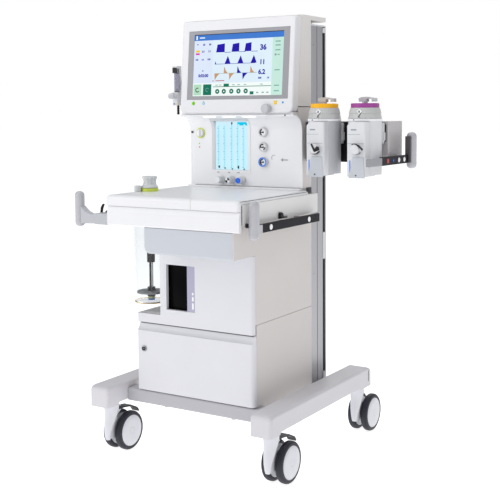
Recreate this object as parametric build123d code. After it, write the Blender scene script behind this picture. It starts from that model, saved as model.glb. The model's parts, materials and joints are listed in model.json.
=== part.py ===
from build123d import *
import math
import os

# Anaesthesia machine on a four-caster trolley, in millimetres, +Z up.
# While the pieces are made, X = 0 is the middle of the cabinet, Y = 0 the front face of its drawer
# (the front faces -Y) and Z = 0 the floor. At the end everything is moved so that the origin is
# on the floor under the middle of the whole machine's bounding box.

# ---- driving dimensions ----
GAP = 0.5                    # clearance between pieces that move past each other
FIT = 0.06                   # radial clearance of a turning shaft in its hole
SHEET = 3.0                  # thickness of sheet panels
WALL = 2.0                   # thickness of cabinet shells

HALF = 215.5                 # half width of the cabinet
CAB_BACK = 361.0             # back of the cabinet, where the columns start
DRAWER_Z0 = 212.0
DRAWER_Z1 = 425.0
DRAWER_T = 17.0              # thickness of the drawer front
BOX_HALF = 204.0             # half width of the drawer box
BOX_BACK = 332.0
BOX_Z = (224.0, 392.0)
CAB_Z0 = 209.0
SKIRT_Z0 = 200.0            # lower edge of the side skins, behind the front beam
SKIRT_Y = 53.0
BAND_Z0 = 429.0              # front band over the drawer
SHELF_Z = 457.0              # top of the shelf that carries the ventilator
FASCIA_T = 12.0
VENT_X0 = -123.5             # left side of the ventilator cabinet
VENT_Z1 = 663.0
WINDOW_X = (-99.5, -21.5)
WINDOW_Z = (477.0, 618.0)
STRIP_X1 = 7.5

LEG_X = 295.5                # centre line of each base leg
LEG_HALF = 34.0
LEG_Y0 = -94.0
LEG_Y1 = 566.0
LEG_Z0 = 163.0
LEG_Z1 = 228.0
CASTER_Y = {"front": -37.0, "rear": 532.0}
SIDE = {"left": -1, "right": 1}
TRAIL = 58.0                 # wheel axle behind the swivel axis
WHEEL_R = 62.5
TYRE_IN_R = 50.0
WHEEL_X0 = 11.5              # inner face of each twin wheel, from the fork's middle
WHEEL_W = 24.0
STEM_R = 8.0
AXLE_R = 5.0
WEB_HALF = 9.0
PEDAL_PIN_Y = 31.0
PEDAL_PIN_Z = 142.0

COLUMN_HALF_X = (173.5, HALF)
COLUMN_Y = (362.0, 462.0)
COLUMN_Z = (198.0, 1356.0)
SLOT_Y = (438.0, 456.0)

TABLE_HALF = 238.0
TABLE_Y0 = -110.0
TABLE_BACK = 298.0
TABLE_Z = 836.0
LEDGE_Z = 842.0              # low ledge along the back of the table, under the gas panel
COVER_Z0 = 803.5
COVER_OVERHANG = 7.0         # the left cover reaches this far past the pan
COVER_SPLIT = 72.0           # where the left cover meets the right one
FRAME_Z0 = 744.0
FRAME_STEP = 764.0
FRAME_Z1 = 824.0
TRAY_FRONT_T = 12.0
TRAY_BOARD = ((-100.0, 203.0), (-98.0, 180.0), (749.0, 759.0))

HOUSING_X0 = -107.5
HOUSING_Y0 = -100.0
HOUSING_Z = (664.0, 742.0)

LOCK_X = -188.5
LOCK_Z = 344.0

CANISTER_X = -195.0
CANISTER_Y = 50.0
CANISTER_R = (52.0, 57.0)    # outer radius at the bottom and at the top
CANISTER_Z = (486.0, 741.0)
BLOCK_X = (-228.0, -113.0)
BLOCK_Y = (-32.0, 196.0)
BLOCK_Z = (741.5, 798.0)
VALVE_Y0 = 116.0             # the block is deeper behind the canister
VALVE_Z0 = 704.0
PORT_R = 11.0                # 22 mm breathing connectors
PORT_Y = (132.0, 178.0)
PORT_Z = 722.0
PORT_END = -258.0

APL_X = -206.0
APL_Y = 64.0
SELECTOR_X = -230.0
SELECTOR_Y = 33.0

RAIL_T = 10.0
RAIL_H = 25.0
RAIL_X = 260.5               # middle of each side rail
RAIL_Y = (-34.0, 321.0)
RAIL_Z = 752.0
RAIL_POST_Y = (20.0, 252.0)
GRIP_R = 15.5
GRIP_H = 112.0

PANEL_Y = 300.0              # front face of the gas panel
PANEL_X = (-210.5, HALF)
PANEL_Z = (843.0, 1025.0)
PANEL_T = 4.0
COVE_R = 46.0                # cove under the monitor
COVE_LIP_Y = 244.0
FLOW_X = (-86.5, -46.5, -6.5)
FLOW_Z = 862.0
FLOW_WINDOW = ((-112.0, 16.0), (894.0, 1054.0))
TUBE_X = (-94.5, -71.5, -43.5, -19.5, 2.5)
GAUGE_X = 75.5
GAUGE_R = 15.0
GAUGE_Z = (1019.0, 971.0, 923.0)
SWITCH_X = -169.5
SWITCH_Z = 1015.0

MONITOR_TILT = 5.1           # the screen leans back, in degrees
MONITOR_FOOT = (238.0, 1080.0)
MONITOR_H = 303.0
MONITOR_T = 34.0
BEZEL_W = 381.0
BEZEL_Z = (45.0, 269.0)      # bezel pocket above the monitor's foot, along its face
BEZEL_X = 4.0                # middle of the bezel
POCKET_T = 10.0
KNOB_X = 125.0
KNOB_UP = 13.0
TOP_PLATE_BACK = 473.0
TOP_PLATE_Z = (1372.0, 1386.0)

AUX_X = -237.5
AUX_Y = (250.0, 274.0)
AUX_Z = (1107.0, 1237.0)

VAP_X = (314.5, 450.5)
VAP_Y = 262.0
VAP_R = 50.0
VAP_Z0 = 892.0
VAP_Z1 = 1055.0
VAP_NAMES = ("yellow", "purple")
PLATE_X = (-28.0, 33.0)      # sides of the vaporizer's front plate, from its axis
PLATE_Y0 = -68.0             # its front face, from the vaporizer's axis
DIAL_Z = (1062.5, 1108.0)
POST_R = 8.0
LEVER_Z = (1112.5, 1127.0)
MANIFOLD = ((HALF, 500.5), (322.0, 425.0), (935.0, 1053.0))
TOP_RAIL_X = 525.5
TOP_RAIL_Y = (212.0, 400.0)
TOP_RAIL_END_Y = 117.0       # grey bar in front of the rail
TOP_RAIL_Z = 937.5
TOP_RAIL_POST_Y = (336.0, 373.0)

GRIPS = {
    "left": (-403.0, -45.0, 780.5),
    "right": (261.0, -66.5, 777.0),
    "rear": (531.5, 425.5, 962.5),
}

ORIGIN_X = (GRIPS["left"][0] + GRIPS["rear"][0]) / 2
ORIGIN_Y = (TABLE_Y0 + CASTER_Y["rear"] + TRAIL + WHEEL_R) / 2


# ---- helpers ----
def block(x, y, z):
    """A box from three (low, high) pairs."""
    size = (x[1] - x[0], y[1] - y[0], z[1] - z[0])
    return Pos((x[0] + x[1]) / 2, (y[0] + y[1]) / 2, (z[0] + z[1]) / 2) * Box(*size)


def rod_x(radius, x, y, z):
    """A cylinder along X between x[0] and x[1]."""
    turn = Rot(0, 90, 0)
    return Pos((x[0] + x[1]) / 2, y, z) * turn * Cylinder(radius, x[1] - x[0])


def rod_y(radius, y, x, z):
    """A cylinder along Y between y[0] and y[1]."""
    turn = Rot(90, 0, 0)
    return Pos(x, (y[0] + y[1]) / 2, z) * turn * Cylinder(radius, y[1] - y[0])


def rod_z(radius, z, x, y):
    """A cylinder along Z between z[0] and z[1]."""
    return Pos(x, y, (z[0] + z[1]) / 2) * Cylinder(radius, z[1] - z[0])


def prism_x(outline, x):
    """A closed (y, z) outline drawn out along X."""
    face = make_face(Plane.YZ * Polyline(*outline, close=True))
    return Pos(x[0], 0, 0) * extrude(face, amount=x[1] - x[0], dir=(1, 0, 0))


def prism_y(outline, y):
    """A closed (x, z) outline drawn out along Y."""
    face = make_face(Plane.XZ * Polyline(*outline, close=True))
    return Pos(0, y[0], 0) * extrude(face, amount=y[1] - y[0], dir=(0, 1, 0))


def sheets(x, y, z, sides):
    """Flat sheets round a box-shaped space, one solid each, for the sides that are named."""
    inside_x = (x[0] + WALL, x[1] - WALL)
    inside_z = (z[0] + WALL, z[1] - WALL)
    spans = {
        "left": ((x[0], inside_x[0]), y, z),
        "right": ((inside_x[1], x[1]), y, z),
        "bottom": (inside_x, y, (z[0], inside_z[0])),
        "top": (inside_x, y, (inside_z[1], z[1])),
        "front": (inside_x, (y[0], y[0] + WALL), inside_z),
        "back": (inside_x, (y[1] - WALL, y[1]), inside_z),
    }
    return [block(*spans[side]) for side in sides]


def upright_edges(solid):
    return solid.edges().filter_by(Axis.Z)


def top_edges(solid):
    return solid.faces().sort_by(Axis.Z)[-1].edges()


def knob_along_y(radii, steps, x, z):
    """A stepped knob: each radius runs between two neighbouring Y values of steps."""
    pieces = [rod_y(r, (a, b), x, z) for r, a, b in zip(radii, steps, steps[1:])]
    return Part() + pieces


def monitor_place():
    """Frame on the monitor's face: X to the right, Y up the face, Z out of it."""
    tilt = math.radians(MONITOR_TILT)
    centre_x = (PANEL_X[0] + PANEL_X[1]) / 2
    outward = (0, -math.cos(tilt), math.sin(tilt))
    return Plane(origin=(centre_x, *MONITOR_FOOT), x_dir=(1, 0, 0), z_dir=outward)


# ---- base ----
def base_leg(side):
    """Cast leg with a rounded nose, deeper at both ends where the caster stems go in."""
    x = side * LEG_X
    nose_top = (LEG_Y0 + 40, LEG_Z1)
    nose_foot = (LEG_Y0, LEG_Z1 - 15)
    nose = Spline(nose_foot, nose_top, tangents=[(0, 1), (1, 0)])
    rest = Polyline(nose_top, (LEG_Y1 - 20, LEG_Z1), (LEG_Y1, LEG_Z1 - 7), (LEG_Y1, LEG_Z0),
                    (LEG_Y1 - 66, LEG_Z0), (LEG_Y1 - 96, LEG_Z0 + 8), (LEG_Y0 + 58, LEG_Z0 + 8),
                    (LEG_Y0 + 50, LEG_Z0), (LEG_Y0, LEG_Z0), nose_foot)
    face = make_face(Plane.YZ * Wire([nose, *rest.edges()]))
    body = Pos(x - LEG_HALF, 0, 0) * extrude(face, amount=2 * LEG_HALF, dir=(1, 0, 0))
    for flank in (body.faces().sort_by(Axis.X)[0], body.faces().sort_by(Axis.X)[-1]):
        upper = [edge for edge in flank.edges() if edge.center().Z > LEG_Z1 - 12]
        body = fillet(upper, 10)
    for stem_y in CASTER_Y.values():
        body -= rod_z(STEM_R + FIT, (LEG_Z0, LEG_Z0 + 48), x, stem_y)
    return body


def base_crossbeams():
    """Front and rear beams between the legs, with the heads of the bolts under the front one."""
    reach = LEG_X - LEG_HALF
    front = block((-reach, reach), (5, 52), (166, 208))
    front = fillet(front.edges().filter_by(Axis.X), 5)
    for bolt_x in (-124.5, 124.5):
        front += rod_z(7, (158, 170), bolt_x, 30)
    rear = block((-reach, reach), (372, 458), (166, COLUMN_Z[0]))
    rear = fillet(rear.edges().filter_by(Axis.X), 5)
    return [front, rear]


def caster_fork(side, end):
    """Stem, collar and hood in front of the twin wheels, and the web between them."""
    x = side * LEG_X
    y = CASTER_Y[end]
    stem = rod_z(STEM_R, (150, LEG_Z0 + 46), x, y)
    collar = rod_z(24, (148, LEG_Z0 - GAP), x, y)
    sections = ((149, 24, 24, 0), (118, 20, 18, -6), (84, 14.5, 11, -17.5), (48, 8, 6, -19.5))
    rings = [Plane(origin=(x, y + dy, z)) * Ellipse(rx, ry) for z, rx, ry, dy in sections]
    hood = loft([ring.face() for ring in rings])
    outline = [(y - 20, 52), (y - 18, 90), (y - 12, 149), (y + 38, 149), (y + 38, 134), (y + 14, 118),
               (y + 44, 78), (y + TRAIL, 79), (y + TRAIL + 14, 70), (y + TRAIL + 14, 55), (y + TRAIL, 46)]
    web = prism_x(outline, (x - WEB_HALF, x + WEB_HALF))
    fork = stem + collar + hood + web
    fork -= rod_x(AXLE_R + FIT, (x - 30, x + 30), y + TRAIL, WHEEL_R)
    fork -= rod_x(2.5 + FIT, (x - 30, x + 30), y + PEDAL_PIN_Y, PEDAL_PIN_Z)
    return fork


def twin_spans(side):
    """X ranges of a caster's two wheels."""
    x = side * LEG_X
    left = (x - WHEEL_X0 - WHEEL_W, x - WHEEL_X0)
    right = (x + WHEEL_X0, x + WHEEL_X0 + WHEEL_W)
    return left, right


def caster_tyres(side, end):
    """Tyres of the twin wheels."""
    y = CASTER_Y[end] + TRAIL
    tyres = []
    for span in twin_spans(side):
        tyre = rod_x(WHEEL_R, span, y, WHEEL_R)
        tyre = fillet(tyre.edges(), 9)
        tyres.append(tyre - rod_x(TYRE_IN_R, (span[0] - 1, span[1] + 1), y, WHEEL_R))
    return tyres


def caster_discs(side, end):
    """Discs of the twin wheels and the axle that joins them."""
    x = side * LEG_X
    y = CASTER_Y[end] + TRAIL
    wheel = rod_x(AXLE_R, (x - WHEEL_X0 - 1, x + WHEEL_X0 + 1), y, WHEEL_R)
    for span in twin_spans(side):
        disc = rod_x(TYRE_IN_R, span, y, WHEEL_R)
        wheel += fillet(disc.edges(), 2)
    return wheel


def brake_pedal(side, end):
    """Foot lever over the twin wheels; its pin turns in the fork's web."""
    x = side * LEG_X
    y = CASTER_Y[end]
    outline = [(y + 40, 143), (y + 40, 138), (y + 80, 133), (y + 112, 118), (y + 122, 106), (y + 125, 109),
               (y + 115, 122), (y + 82, 138)]
    plate = prism_x(outline, (x - 14, x + 14))
    for way in (-1, 1):
        ear_x = sorted((x + way * (WEB_HALF + GAP), x + way * 14))
        plate += block(ear_x, (y + 26, y + 44), (137.5, 146.5))
    plate += rod_x(2.5, (x - 12, x + 12), y + PEDAL_PIN_Y, PEDAL_PIN_Z)
    return plate


# ---- cabinet ----
def lower_cabinet():
    """Sheet-metal case for the drawer, the boxed shelf on it, and the drawer's runners."""
    half = HALF - SHEET - GAP
    y = (DRAWER_T + 1, CAB_BACK - SHEET)
    pieces = sheets((-half, half), y, (CAB_Z0, BAND_Z0 - 1 + WALL), ("left", "right", "bottom", "back"))
    pieces[0] = pieces[0] - block((-half - 1, half + 1), (0, CAB_BACK), (BAND_Z0 - 1, BAND_Z0 + 9))
    pieces[1] = pieces[1] - block((-half - 1, half + 1), (0, CAB_BACK), (BAND_Z0 - 1, BAND_Z0 + 9))
    shelf = block((-half, half), (FASCIA_T + GAP, CAB_BACK - SHEET), (BAND_Z0 - 1, SHELF_Z))
    shelf -= block((-half + 6, half - 6), (30, CAB_BACK), (BAND_Z0 + 2, SHELF_Z - WALL))
    pieces.append(shelf)
    for side in (-1, 1):
        x = sorted((side * (BOX_HALF + 1), side * (half - WALL)))
        pieces.append(block(x, (30, 350), (300, 336)))
    return pieces


def side_panels():
    """Painted side skins: lower pair, upper pair and the pair beside the gas panel."""
    inner = HALF - SHEET
    panels = []
    for side in (-1, 1):
        skin = sorted((side * inner, side * HALF))
        lower = block(skin, (DRAWER_T + 1, CAB_BACK), (SKIRT_Z0, SHELF_Z - GAP))
        panels.append(lower - block(skin, (0, SKIRT_Y), (0, CAB_Z0)))
    cheek = [(FASCIA_T + GAP, SHELF_Z + GAP), (CAB_BACK, SHELF_Z + GAP), (CAB_BACK, FRAME_STEP - GAP),
             (-97.3, FRAME_STEP - GAP), (-97.3, FRAME_Z0 - GAP), (-104, FRAME_Z0 - GAP),
             (-104, HOUSING_Z[0]), (FASCIA_T + GAP, HOUSING_Z[0])]
    panels.append(prism_x(cheek, (inner, HALF)))
    panels.append(block((-HALF, -inner), (204, CAB_BACK), (SHELF_Z + GAP, FRAME_STEP - GAP)))
    for x in (PANEL_X[0], HALF - SHEET):
        panels.append(wing(x))
    return panels


def wing(x):
    """Side plate beside the gas panel; its front edge follows the back of the panel's cove."""
    radius = COVE_R + PANEL_T + GAP
    centre = PANEL_Y - COVE_R
    middle = radius * math.sin(math.pi / 4)
    start = (centre + radius, PANEL_Z[1])
    end = (centre, PANEL_Z[1] + radius)
    bend = ThreePointArc(start, (centre + middle, PANEL_Z[1] + middle), end)
    rest = Polyline(end, (centre, end[1] + 1), (275.5, end[1] + 1), (275.5, 1098), (CAB_BACK, 1098),
                    (CAB_BACK, PANEL_Z[0]), (start[0], PANEL_Z[0]), start)
    face = make_face(Plane.YZ * Wire([bend, *rest.edges()]))
    return Pos(x, 0, 0) * extrude(face, amount=SHEET, dir=(1, 0, 0))


def drawer_front():
    """Drawer front with a concave finger groove along its top edge and the lock's hole."""
    front = block((-HALF, HALF), (0, DRAWER_T), (DRAWER_Z0, DRAWER_Z1))
    front = fillet(upright_edges(front).group_by(Axis.Y)[0].sort_by(Axis.X)[0], 5)
    front = fillet(upright_edges(front).group_by(Axis.Y)[0].sort_by(Axis.X)[-1], 12)
    groove_r = 30.0
    front -= rod_x(groove_r, (-HALF - 1, HALF + 1), -15.5, DRAWER_Z1 + 2)
    front -= rod_y(9 + FIT, (-1, DRAWER_T + 1), LOCK_X, LOCK_Z)
    return front


def drawer_box():
    """Open-topped steel tray behind the drawer front, from five sheets."""
    x = (-BOX_HALF, BOX_HALF)
    y = (DRAWER_T, BOX_BACK)
    tray = sheets(x, y, BOX_Z, ("left", "right", "bottom", "back"))
    front = sheets(x, y, BOX_Z, ("front",))[0]
    tray.append(front - rod_y(11, (DRAWER_T - 1, DRAWER_T + WALL + 1), LOCK_X, LOCK_Z))
    return tray


def drawer_lock():
    """Round lock barrel with its cam behind the drawer front."""
    barrel = rod_y(9, (-2.5, DRAWER_T + 1), LOCK_X, LOCK_Z)
    barrel -= block((LOCK_X - 1, LOCK_X + 1), (-4, 1), (LOCK_Z - 4, LOCK_Z + 4))
    return barrel


def ventilator_cabinet():
    """Case of five sheets around the ventilator, open at the front."""
    x = (VENT_X0, HALF - SHEET - GAP)
    y = (FASCIA_T + GAP, CAB_BACK - SHEET)
    return sheets(x, y, (SHELF_Z + GAP, VENT_Z1), ("left", "right", "bottom", "top", "back"))


def front_fascia():
    """One front moulding: the band over the drawer and the ventilator's front with its window."""
    outline = [(-HALF, BAND_Z0), (HALF, BAND_Z0), (HALF, VENT_Z1), (VENT_X0, VENT_Z1),
               (VENT_X0, SHELF_Z), (-HALF, SHELF_Z)]
    front = prism_y(outline, (0, FASCIA_T))
    outer = upright_edges(front).group_by(Axis.Y)[0]
    front = fillet(outer.sort_by(Axis.X)[0], 8)
    front = fillet(upright_edges(front).group_by(Axis.Y)[0].sort_by(Axis.X)[-1], 10)
    front -= block(WINDOW_X, (-1, FASCIA_T + 1), WINDOW_Z)
    front -= block((WINDOW_X[1] - 1, STRIP_X1), (-1, 1.2), WINDOW_Z)
    return front


def cabinet_modules():
    """Black ribbed ventilator module behind the window, and the power supply beside it."""
    unit = block((-112, 62), (18, 262), (468, 634))
    unit = fillet(upright_edges(unit), 4)
    for rib_x in range(-100, 60, 20):
        unit += block((rib_x, rib_x + 5), (40, 240), (633, 642))
    supply = block((78, 204), (30, 280), (461, 590))
    for slot_y in range(60, 260, 22):
        supply -= block((100, 182), (slot_y, slot_y + 8), (586, 591))
    return [unit, supply]


def back_panels():
    """Rear covers between the columns."""
    inner = COLUMN_HALF_X[0] - GAP
    lower = block((-inner, inner), (446, 446 + SHEET), (CAB_Z0, 820))
    upper = block((-inner, inner), (446, 446 + SHEET), (822, 1370))
    for slot_z in range(300, 420, 18):
        lower -= block((-110, 110), (440, 460), (slot_z, slot_z + 7))
    for inlet_x in (-90, -45, 0):
        upper -= rod_y(12.2, (440, 460), inlet_x, 900)
    upper -= block((68, 118), (440, 460), (878, 912))
    return [lower, upper]


def rear_connectors():
    """Three threaded gas inlets and the mains inlet socket, through the upper rear cover."""
    pieces = []
    for inlet_x in (-90, -45, 0):
        inlet = rod_y(12, (420, 452), inlet_x, 900) + rod_y(9, (452, 474), inlet_x, 900)
        pieces.append(inlet - rod_y(4, (430, 475), inlet_x, 900))
    socket = block((68.3, 117.7), (420, 458), (878.3, 911.7))
    socket -= block((79, 107), (432, 459), (884, 906))
    for pin_x in (86, 93, 100):
        socket += block((pin_x - 1, pin_x + 1), (430, 450), (893, 897))
    pieces.append(socket)
    return pieces


# ---- breathing system ----
def breathing_block():
    """Valve and absorber block under the left cover, with two 22 mm ports on its left side."""
    body = block(BLOCK_X, BLOCK_Y, BLOCK_Z)
    body += block(BLOCK_X, (VALVE_Y0, BLOCK_Y[1]), (VALVE_Z0, BLOCK_Z[0] + 1))
    body = fillet(upright_edges(body).group_by(Axis.Y)[0], 10)
    for port_y in PORT_Y:
        body += rod_x(PORT_R, (PORT_END, BLOCK_X[0] + 2), port_y, PORT_Z)
        body -= rod_x(8, (PORT_END - 1, BLOCK_X[0] + 30), port_y, PORT_Z)
    return body


def breathing_housing():
    """Front cover of the breathing system, open at its top and back."""
    right = HALF - SHEET - GAP
    cover = block((HOUSING_X0, right), (HOUSING_Y0, 198), HOUSING_Z)
    cover = fillet(cover.edges().filter_by(Axis.Y).group_by(Axis.X)[0].sort_by(Axis.Z)[0], 20)
    cover = fillet(cover.edges().filter_by(Axis.X).group_by(Axis.Z)[0].sort_by(Axis.Y)[0], 6)
    hollow = block((HOUSING_X0 + 3, right - 3), (HOUSING_Y0 + 3, 199), (HOUSING_Z[0] + 3, HOUSING_Z[1] + 1))
    hollow = fillet(hollow.edges().filter_by(Axis.Y).group_by(Axis.X)[0].sort_by(Axis.Z)[0], 17)
    return cover - hollow


def absorber_canister():
    """Clear tapered cup for the absorbent, with a rim that locks under the block."""
    low, high = CANISTER_Z
    place = Pos(CANISTER_X, CANISTER_Y, (low + high) / 2)
    outer = place * Cone(CANISTER_R[0], CANISTER_R[1], high - low)
    outer = fillet(outer.edges().sort_by(Axis.Z)[0], 7)
    outer += rod_z(CANISTER_R[1] + 3, (high - 8, high), CANISTER_X, CANISTER_Y)
    inner = Pos(0, 0, 3) * place * Cone(CANISTER_R[0] - 2.5, CANISTER_R[1] - 2.5, high - low)
    inner = fillet(inner.edges().sort_by(Axis.Z)[0], 5)
    return outer - inner


def canister_insert():
    """Gas tube, rods, perforated tray and end fittings that hang inside the canister."""
    x, y = CANISTER_X, CANISTER_Y
    top = rod_z(12.5, (612, BLOCK_Z[0]), x, y)
    black_rod = rod_z(3.2, (532, 612), x - 3.4, y)
    pale_rod = rod_z(3.0, (532, 612), x + 4.5, y)
    lower = rod_z(12.5, (503, 532), x, y)
    tray = rod_z(46, (515, 520), x, y) - rod_z(12.5, (513, 523), x, y)
    for ring_r in (20, 28, 36):
        for hole in PolarLocations(ring_r, 12):
            tray -= Pos(x, y, 518) * hole * Cylinder(2.2, 10)
    foot = rod_z(11, (491, 503), x, y)
    return [top, black_rod, pale_rod, lower, tray, foot]


# ---- table ----
def table_frame():
    """Pan under the table covers: outer walls, stepped sides, floor and the plinth at the back."""
    inner = HALF - SHEET - GAP
    front = TABLE_Y0 + TRAY_FRONT_T + 1
    pan = block((-TABLE_HALF + 0.5, TABLE_HALF - 0.5), (front, CAB_BACK), (FRAME_STEP, FRAME_Z1))
    pan -= block((-TABLE_HALF + 9, TABLE_HALF - 9), (front - 1, CAB_BACK - 6), (FRAME_STEP + 4, FRAME_Z1 + 1))
    pan += block((-inner, inner), (front, CAB_BACK), (FRAME_Z0, FRAME_STEP + 4))
    pan -= block((-inner + 7, inner - 7), (front - 1, CAB_BACK - 6), (FRAME_Z0 + 4, FRAME_STEP + 5))
    reach_x = (-TABLE_HALF + 9, BLOCK_X[1] + 2)
    pan -= block(reach_x, (BLOCK_Y[0] - 14, BLOCK_Y[1] + 3), (FRAME_Z0 - 1, FRAME_Z1 + 1))
    plinth = block((-200, 200), (PANEL_Y + 6, CAB_BACK - 6), (FRAME_Z0 + 4, PANEL_Z[0] - 1))
    return pan + plinth


def table_cover(x0, x1, outer_side):
    """One moulded top cover, open underneath; outer_side says which of its sides is the table's."""
    cover = block((x0, x1), (TABLE_Y0, TABLE_BACK), (COVER_Z0, TABLE_Z))
    outer = upright_edges(cover).group_by(Axis.X)[0 if outer_side < 0 else -1].sort_by(Axis.Y)[0]
    cover = fillet(outer, 10)
    rim = top_edges(cover).sort_by(Axis.Y)[0]
    cover = fillet(rim, 13)
    hollow = block((x0 + 3, x1 - 3), (TABLE_Y0 + 5, TABLE_BACK - 3), (COVER_Z0 - 1, TABLE_Z - 3.5))
    hollow = fillet(hollow.edges().filter_by(Axis.X).sort_by(Axis.Z)[-2:].sort_by(Axis.Y)[0], 10)
    cover -= hollow
    inner = x1 if outer_side < 0 else x0
    ledge = block(sorted((outer_side * 214, inner)), (TABLE_BACK - 14, TABLE_BACK), (TABLE_Z - 1, LEDGE_Z))
    cover += fillet(ledge.edges().filter_by(Axis.X).sort_by(Axis.Z)[-2:].sort_by(Axis.Y)[0], 5)
    edge = outer_side * TABLE_HALF
    skirt = sorted((edge - outer_side * 10, edge + outer_side))
    return cover - block(skirt, (TABLE_Y0 + TRAY_FRONT_T, TABLE_BACK + 1), (COVER_Z0 - 1, FRAME_Z1 + 1))


def breathing_cover():
    """Left cover, over the breathing system, with the boss that carries the valve knob."""
    cover = table_cover(-TABLE_HALF - COVER_OVERHANG, COVER_SPLIT - 0.4, -1)
    cover += rod_z(27.5, (TABLE_Z - 2, TABLE_Z + 10), APL_X, APL_Y)
    cover -= rod_z(4 + FIT, (TABLE_Z - 8, TABLE_Z + 1), SELECTOR_X, SELECTOR_Y)
    return cover - rod_z(7 + FIT, (TABLE_Z - 8, TABLE_Z + 11), APL_X, APL_Y)


def table_top():
    return table_cover(COVER_SPLIT + 0.4, TABLE_HALF, 1)


def writing_tray():
    """Board that slides out of the table, and its full-width front with a sloping upper edge."""
    x, y, z = TRAY_BOARD
    board = block(x, y, z) + block(x, (y[1] - 8, y[1]), (z[1], z[1] + 8))
    face_y = TABLE_Y0
    back_y = TABLE_Y0 + TRAY_FRONT_T
    top = COVER_Z0 - 1
    outline = [(face_y, FRAME_Z0 + 4), (face_y, top - 16), (face_y + 5, top), (back_y, top),
               (back_y, FRAME_Z0), (face_y + 4, FRAME_Z0)]
    front = prism_x(outline, (-TABLE_HALF, TABLE_HALF))
    front = fillet(front.edges().filter_by(Axis.X).group_by(Axis.Y)[0], 3)
    return [board, front]


def side_rails():
    """Accessory rails, 25 by 10 mm, on their posts: right, left and beside the vaporizers."""
    z = (RAIL_Z - RAIL_H / 2, RAIL_Z + RAIL_H / 2)
    pieces = []
    for side in (-1, 1):
        x = sorted((side * (RAIL_X - RAIL_T / 2), side * (RAIL_X + RAIL_T / 2)))
        pieces.append(block(x, RAIL_Y, z))
        post_x = sorted((side * HALF, side * (RAIL_X - RAIL_T / 2)))
        for post_y in RAIL_POST_Y if side > 0 else (RAIL_POST_Y[1], RAIL_POST_Y[1] + 48):
            pieces.append(rod_x(8, post_x, post_y, RAIL_Z))
    x = (TOP_RAIL_X - RAIL_T / 2, TOP_RAIL_X + RAIL_T / 2)
    z = (TOP_RAIL_Z - RAIL_H / 2, TOP_RAIL_Z + RAIL_H / 2)
    pieces.append(block(x, TOP_RAIL_Y, z))
    pieces.append(block((x[0] + 1, x[1] - 1), (TOP_RAIL_END_Y, TOP_RAIL_Y[0]), (z[0] + 1, z[1] - 2)))
    for post_y in TOP_RAIL_POST_Y:
        pieces.append(rod_x(8, (MANIFOLD[0][1], x[0]), post_y, TOP_RAIL_Z + 3))
    return pieces


def handle_grips():
    """Three upright grips with round ends."""
    pieces = []
    for x, y, z in GRIPS.values():
        grip = rod_z(GRIP_R, (z - GRIP_H / 2, z + GRIP_H / 2), x, y)
        pieces.append(fillet(grip.edges(), 12))
    return pieces


def handle_arms():
    """Arms that hold the grips: the left one is clamped to the left rail by its end."""
    grip_x, grip_y, _ = GRIPS["left"]
    end = -(RAIL_X + RAIL_T / 2)
    clamp = block((-333, end), (RAIL_Y[0], RAIL_Y[0] + 44), (736, 770))
    clamp += block((-333, end), (grip_y - 13, RAIL_Y[0] + 2), (736, 770))
    face = grip_x + GRIP_R - 3
    horn = [(-332, 738), (-332, 768), (-352, 766), (-372, 774), (face, 790), (face, 737), (-372, 736)]
    left = clamp + prism_y(horn, (grip_y - 12, grip_y + 12))
    left -= rod_z(GRIP_R, (700, 850), grip_x, grip_y)
    grip_x, grip_y, _ = GRIPS["right"]
    right = block((grip_x - 9, grip_x + 9), (grip_y, RAIL_Y[0]), (740, 764))
    right -= rod_z(GRIP_R, (700, 850), grip_x, grip_y)
    grip_x, grip_y, grip_z = GRIPS["rear"]
    rear = block((TOP_RAIL_X - 5, TOP_RAIL_X + 11), (TOP_RAIL_Y[1], grip_y), (926, grip_z + 44))
    rear -= rod_z(GRIP_R, (880, 1050), grip_x, grip_y)
    return [left, right, rear]


def apl_knob():
    """Waisted pressure-limit valve knob on its stem."""
    base = TABLE_Z + 10 + GAP
    knob = rod_z(27, (base, base + 9), APL_X, APL_Y)
    knob += rod_z(21, (base + 9, base + 26), APL_X, APL_Y)
    knob += rod_z(25, (base + 26, base + 37), APL_X, APL_Y)
    knob += rod_z(7, (TABLE_Z - 4, base + 1), APL_X, APL_Y)
    return fillet(knob.edges().sort_by(Axis.Z)[-1], 3)


def bag_selector():
    """Small bag or ventilator selector knob beside the valve knob."""
    head = rod_z(11.5, (TABLE_Z + GAP, TABLE_Z + 19), SELECTOR_X, SELECTOR_Y)
    head = fillet(head.edges().sort_by(Axis.Z)[-1], 3)
    return head + rod_z(4, (TABLE_Z - 8, TABLE_Z + 1), SELECTOR_X, SELECTOR_Y)


# ---- columns ----
def columns():
    """Two aluminium extrusions with an undercut slot down the outer face."""
    pieces = []
    for side in (-1, 1):
        x = sorted((side * COLUMN_HALF_X[0], side * COLUMN_HALF_X[1]))
        column = block(x, COLUMN_Y, COLUMN_Z)
        column = fillet(upright_edges(column), 1.5)
        mouth = sorted((side * (HALF - 6), side * (HALF + 1)))
        column -= block(mouth, SLOT_Y, (0, 1400))
        throat = sorted((side * (HALF - 14), side * (HALF - 5.9)))
        column -= block(throat, (SLOT_Y[0] - 5, SLOT_Y[1] + 2), (0, 1400))
        hollow = sorted((side * (HALF - 38), side * (HALF - 18)))
        column -= block(hollow, (COLUMN_Y[0] + 5, COLUMN_Y[1] - 5), (0, 1400))
        groove = sorted((side * (HALF - 1.5), side * (HALF + 1)))
        column -= block(groove, (398, 402), (0, 1400))
        pieces.append(column)
    return pieces


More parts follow.
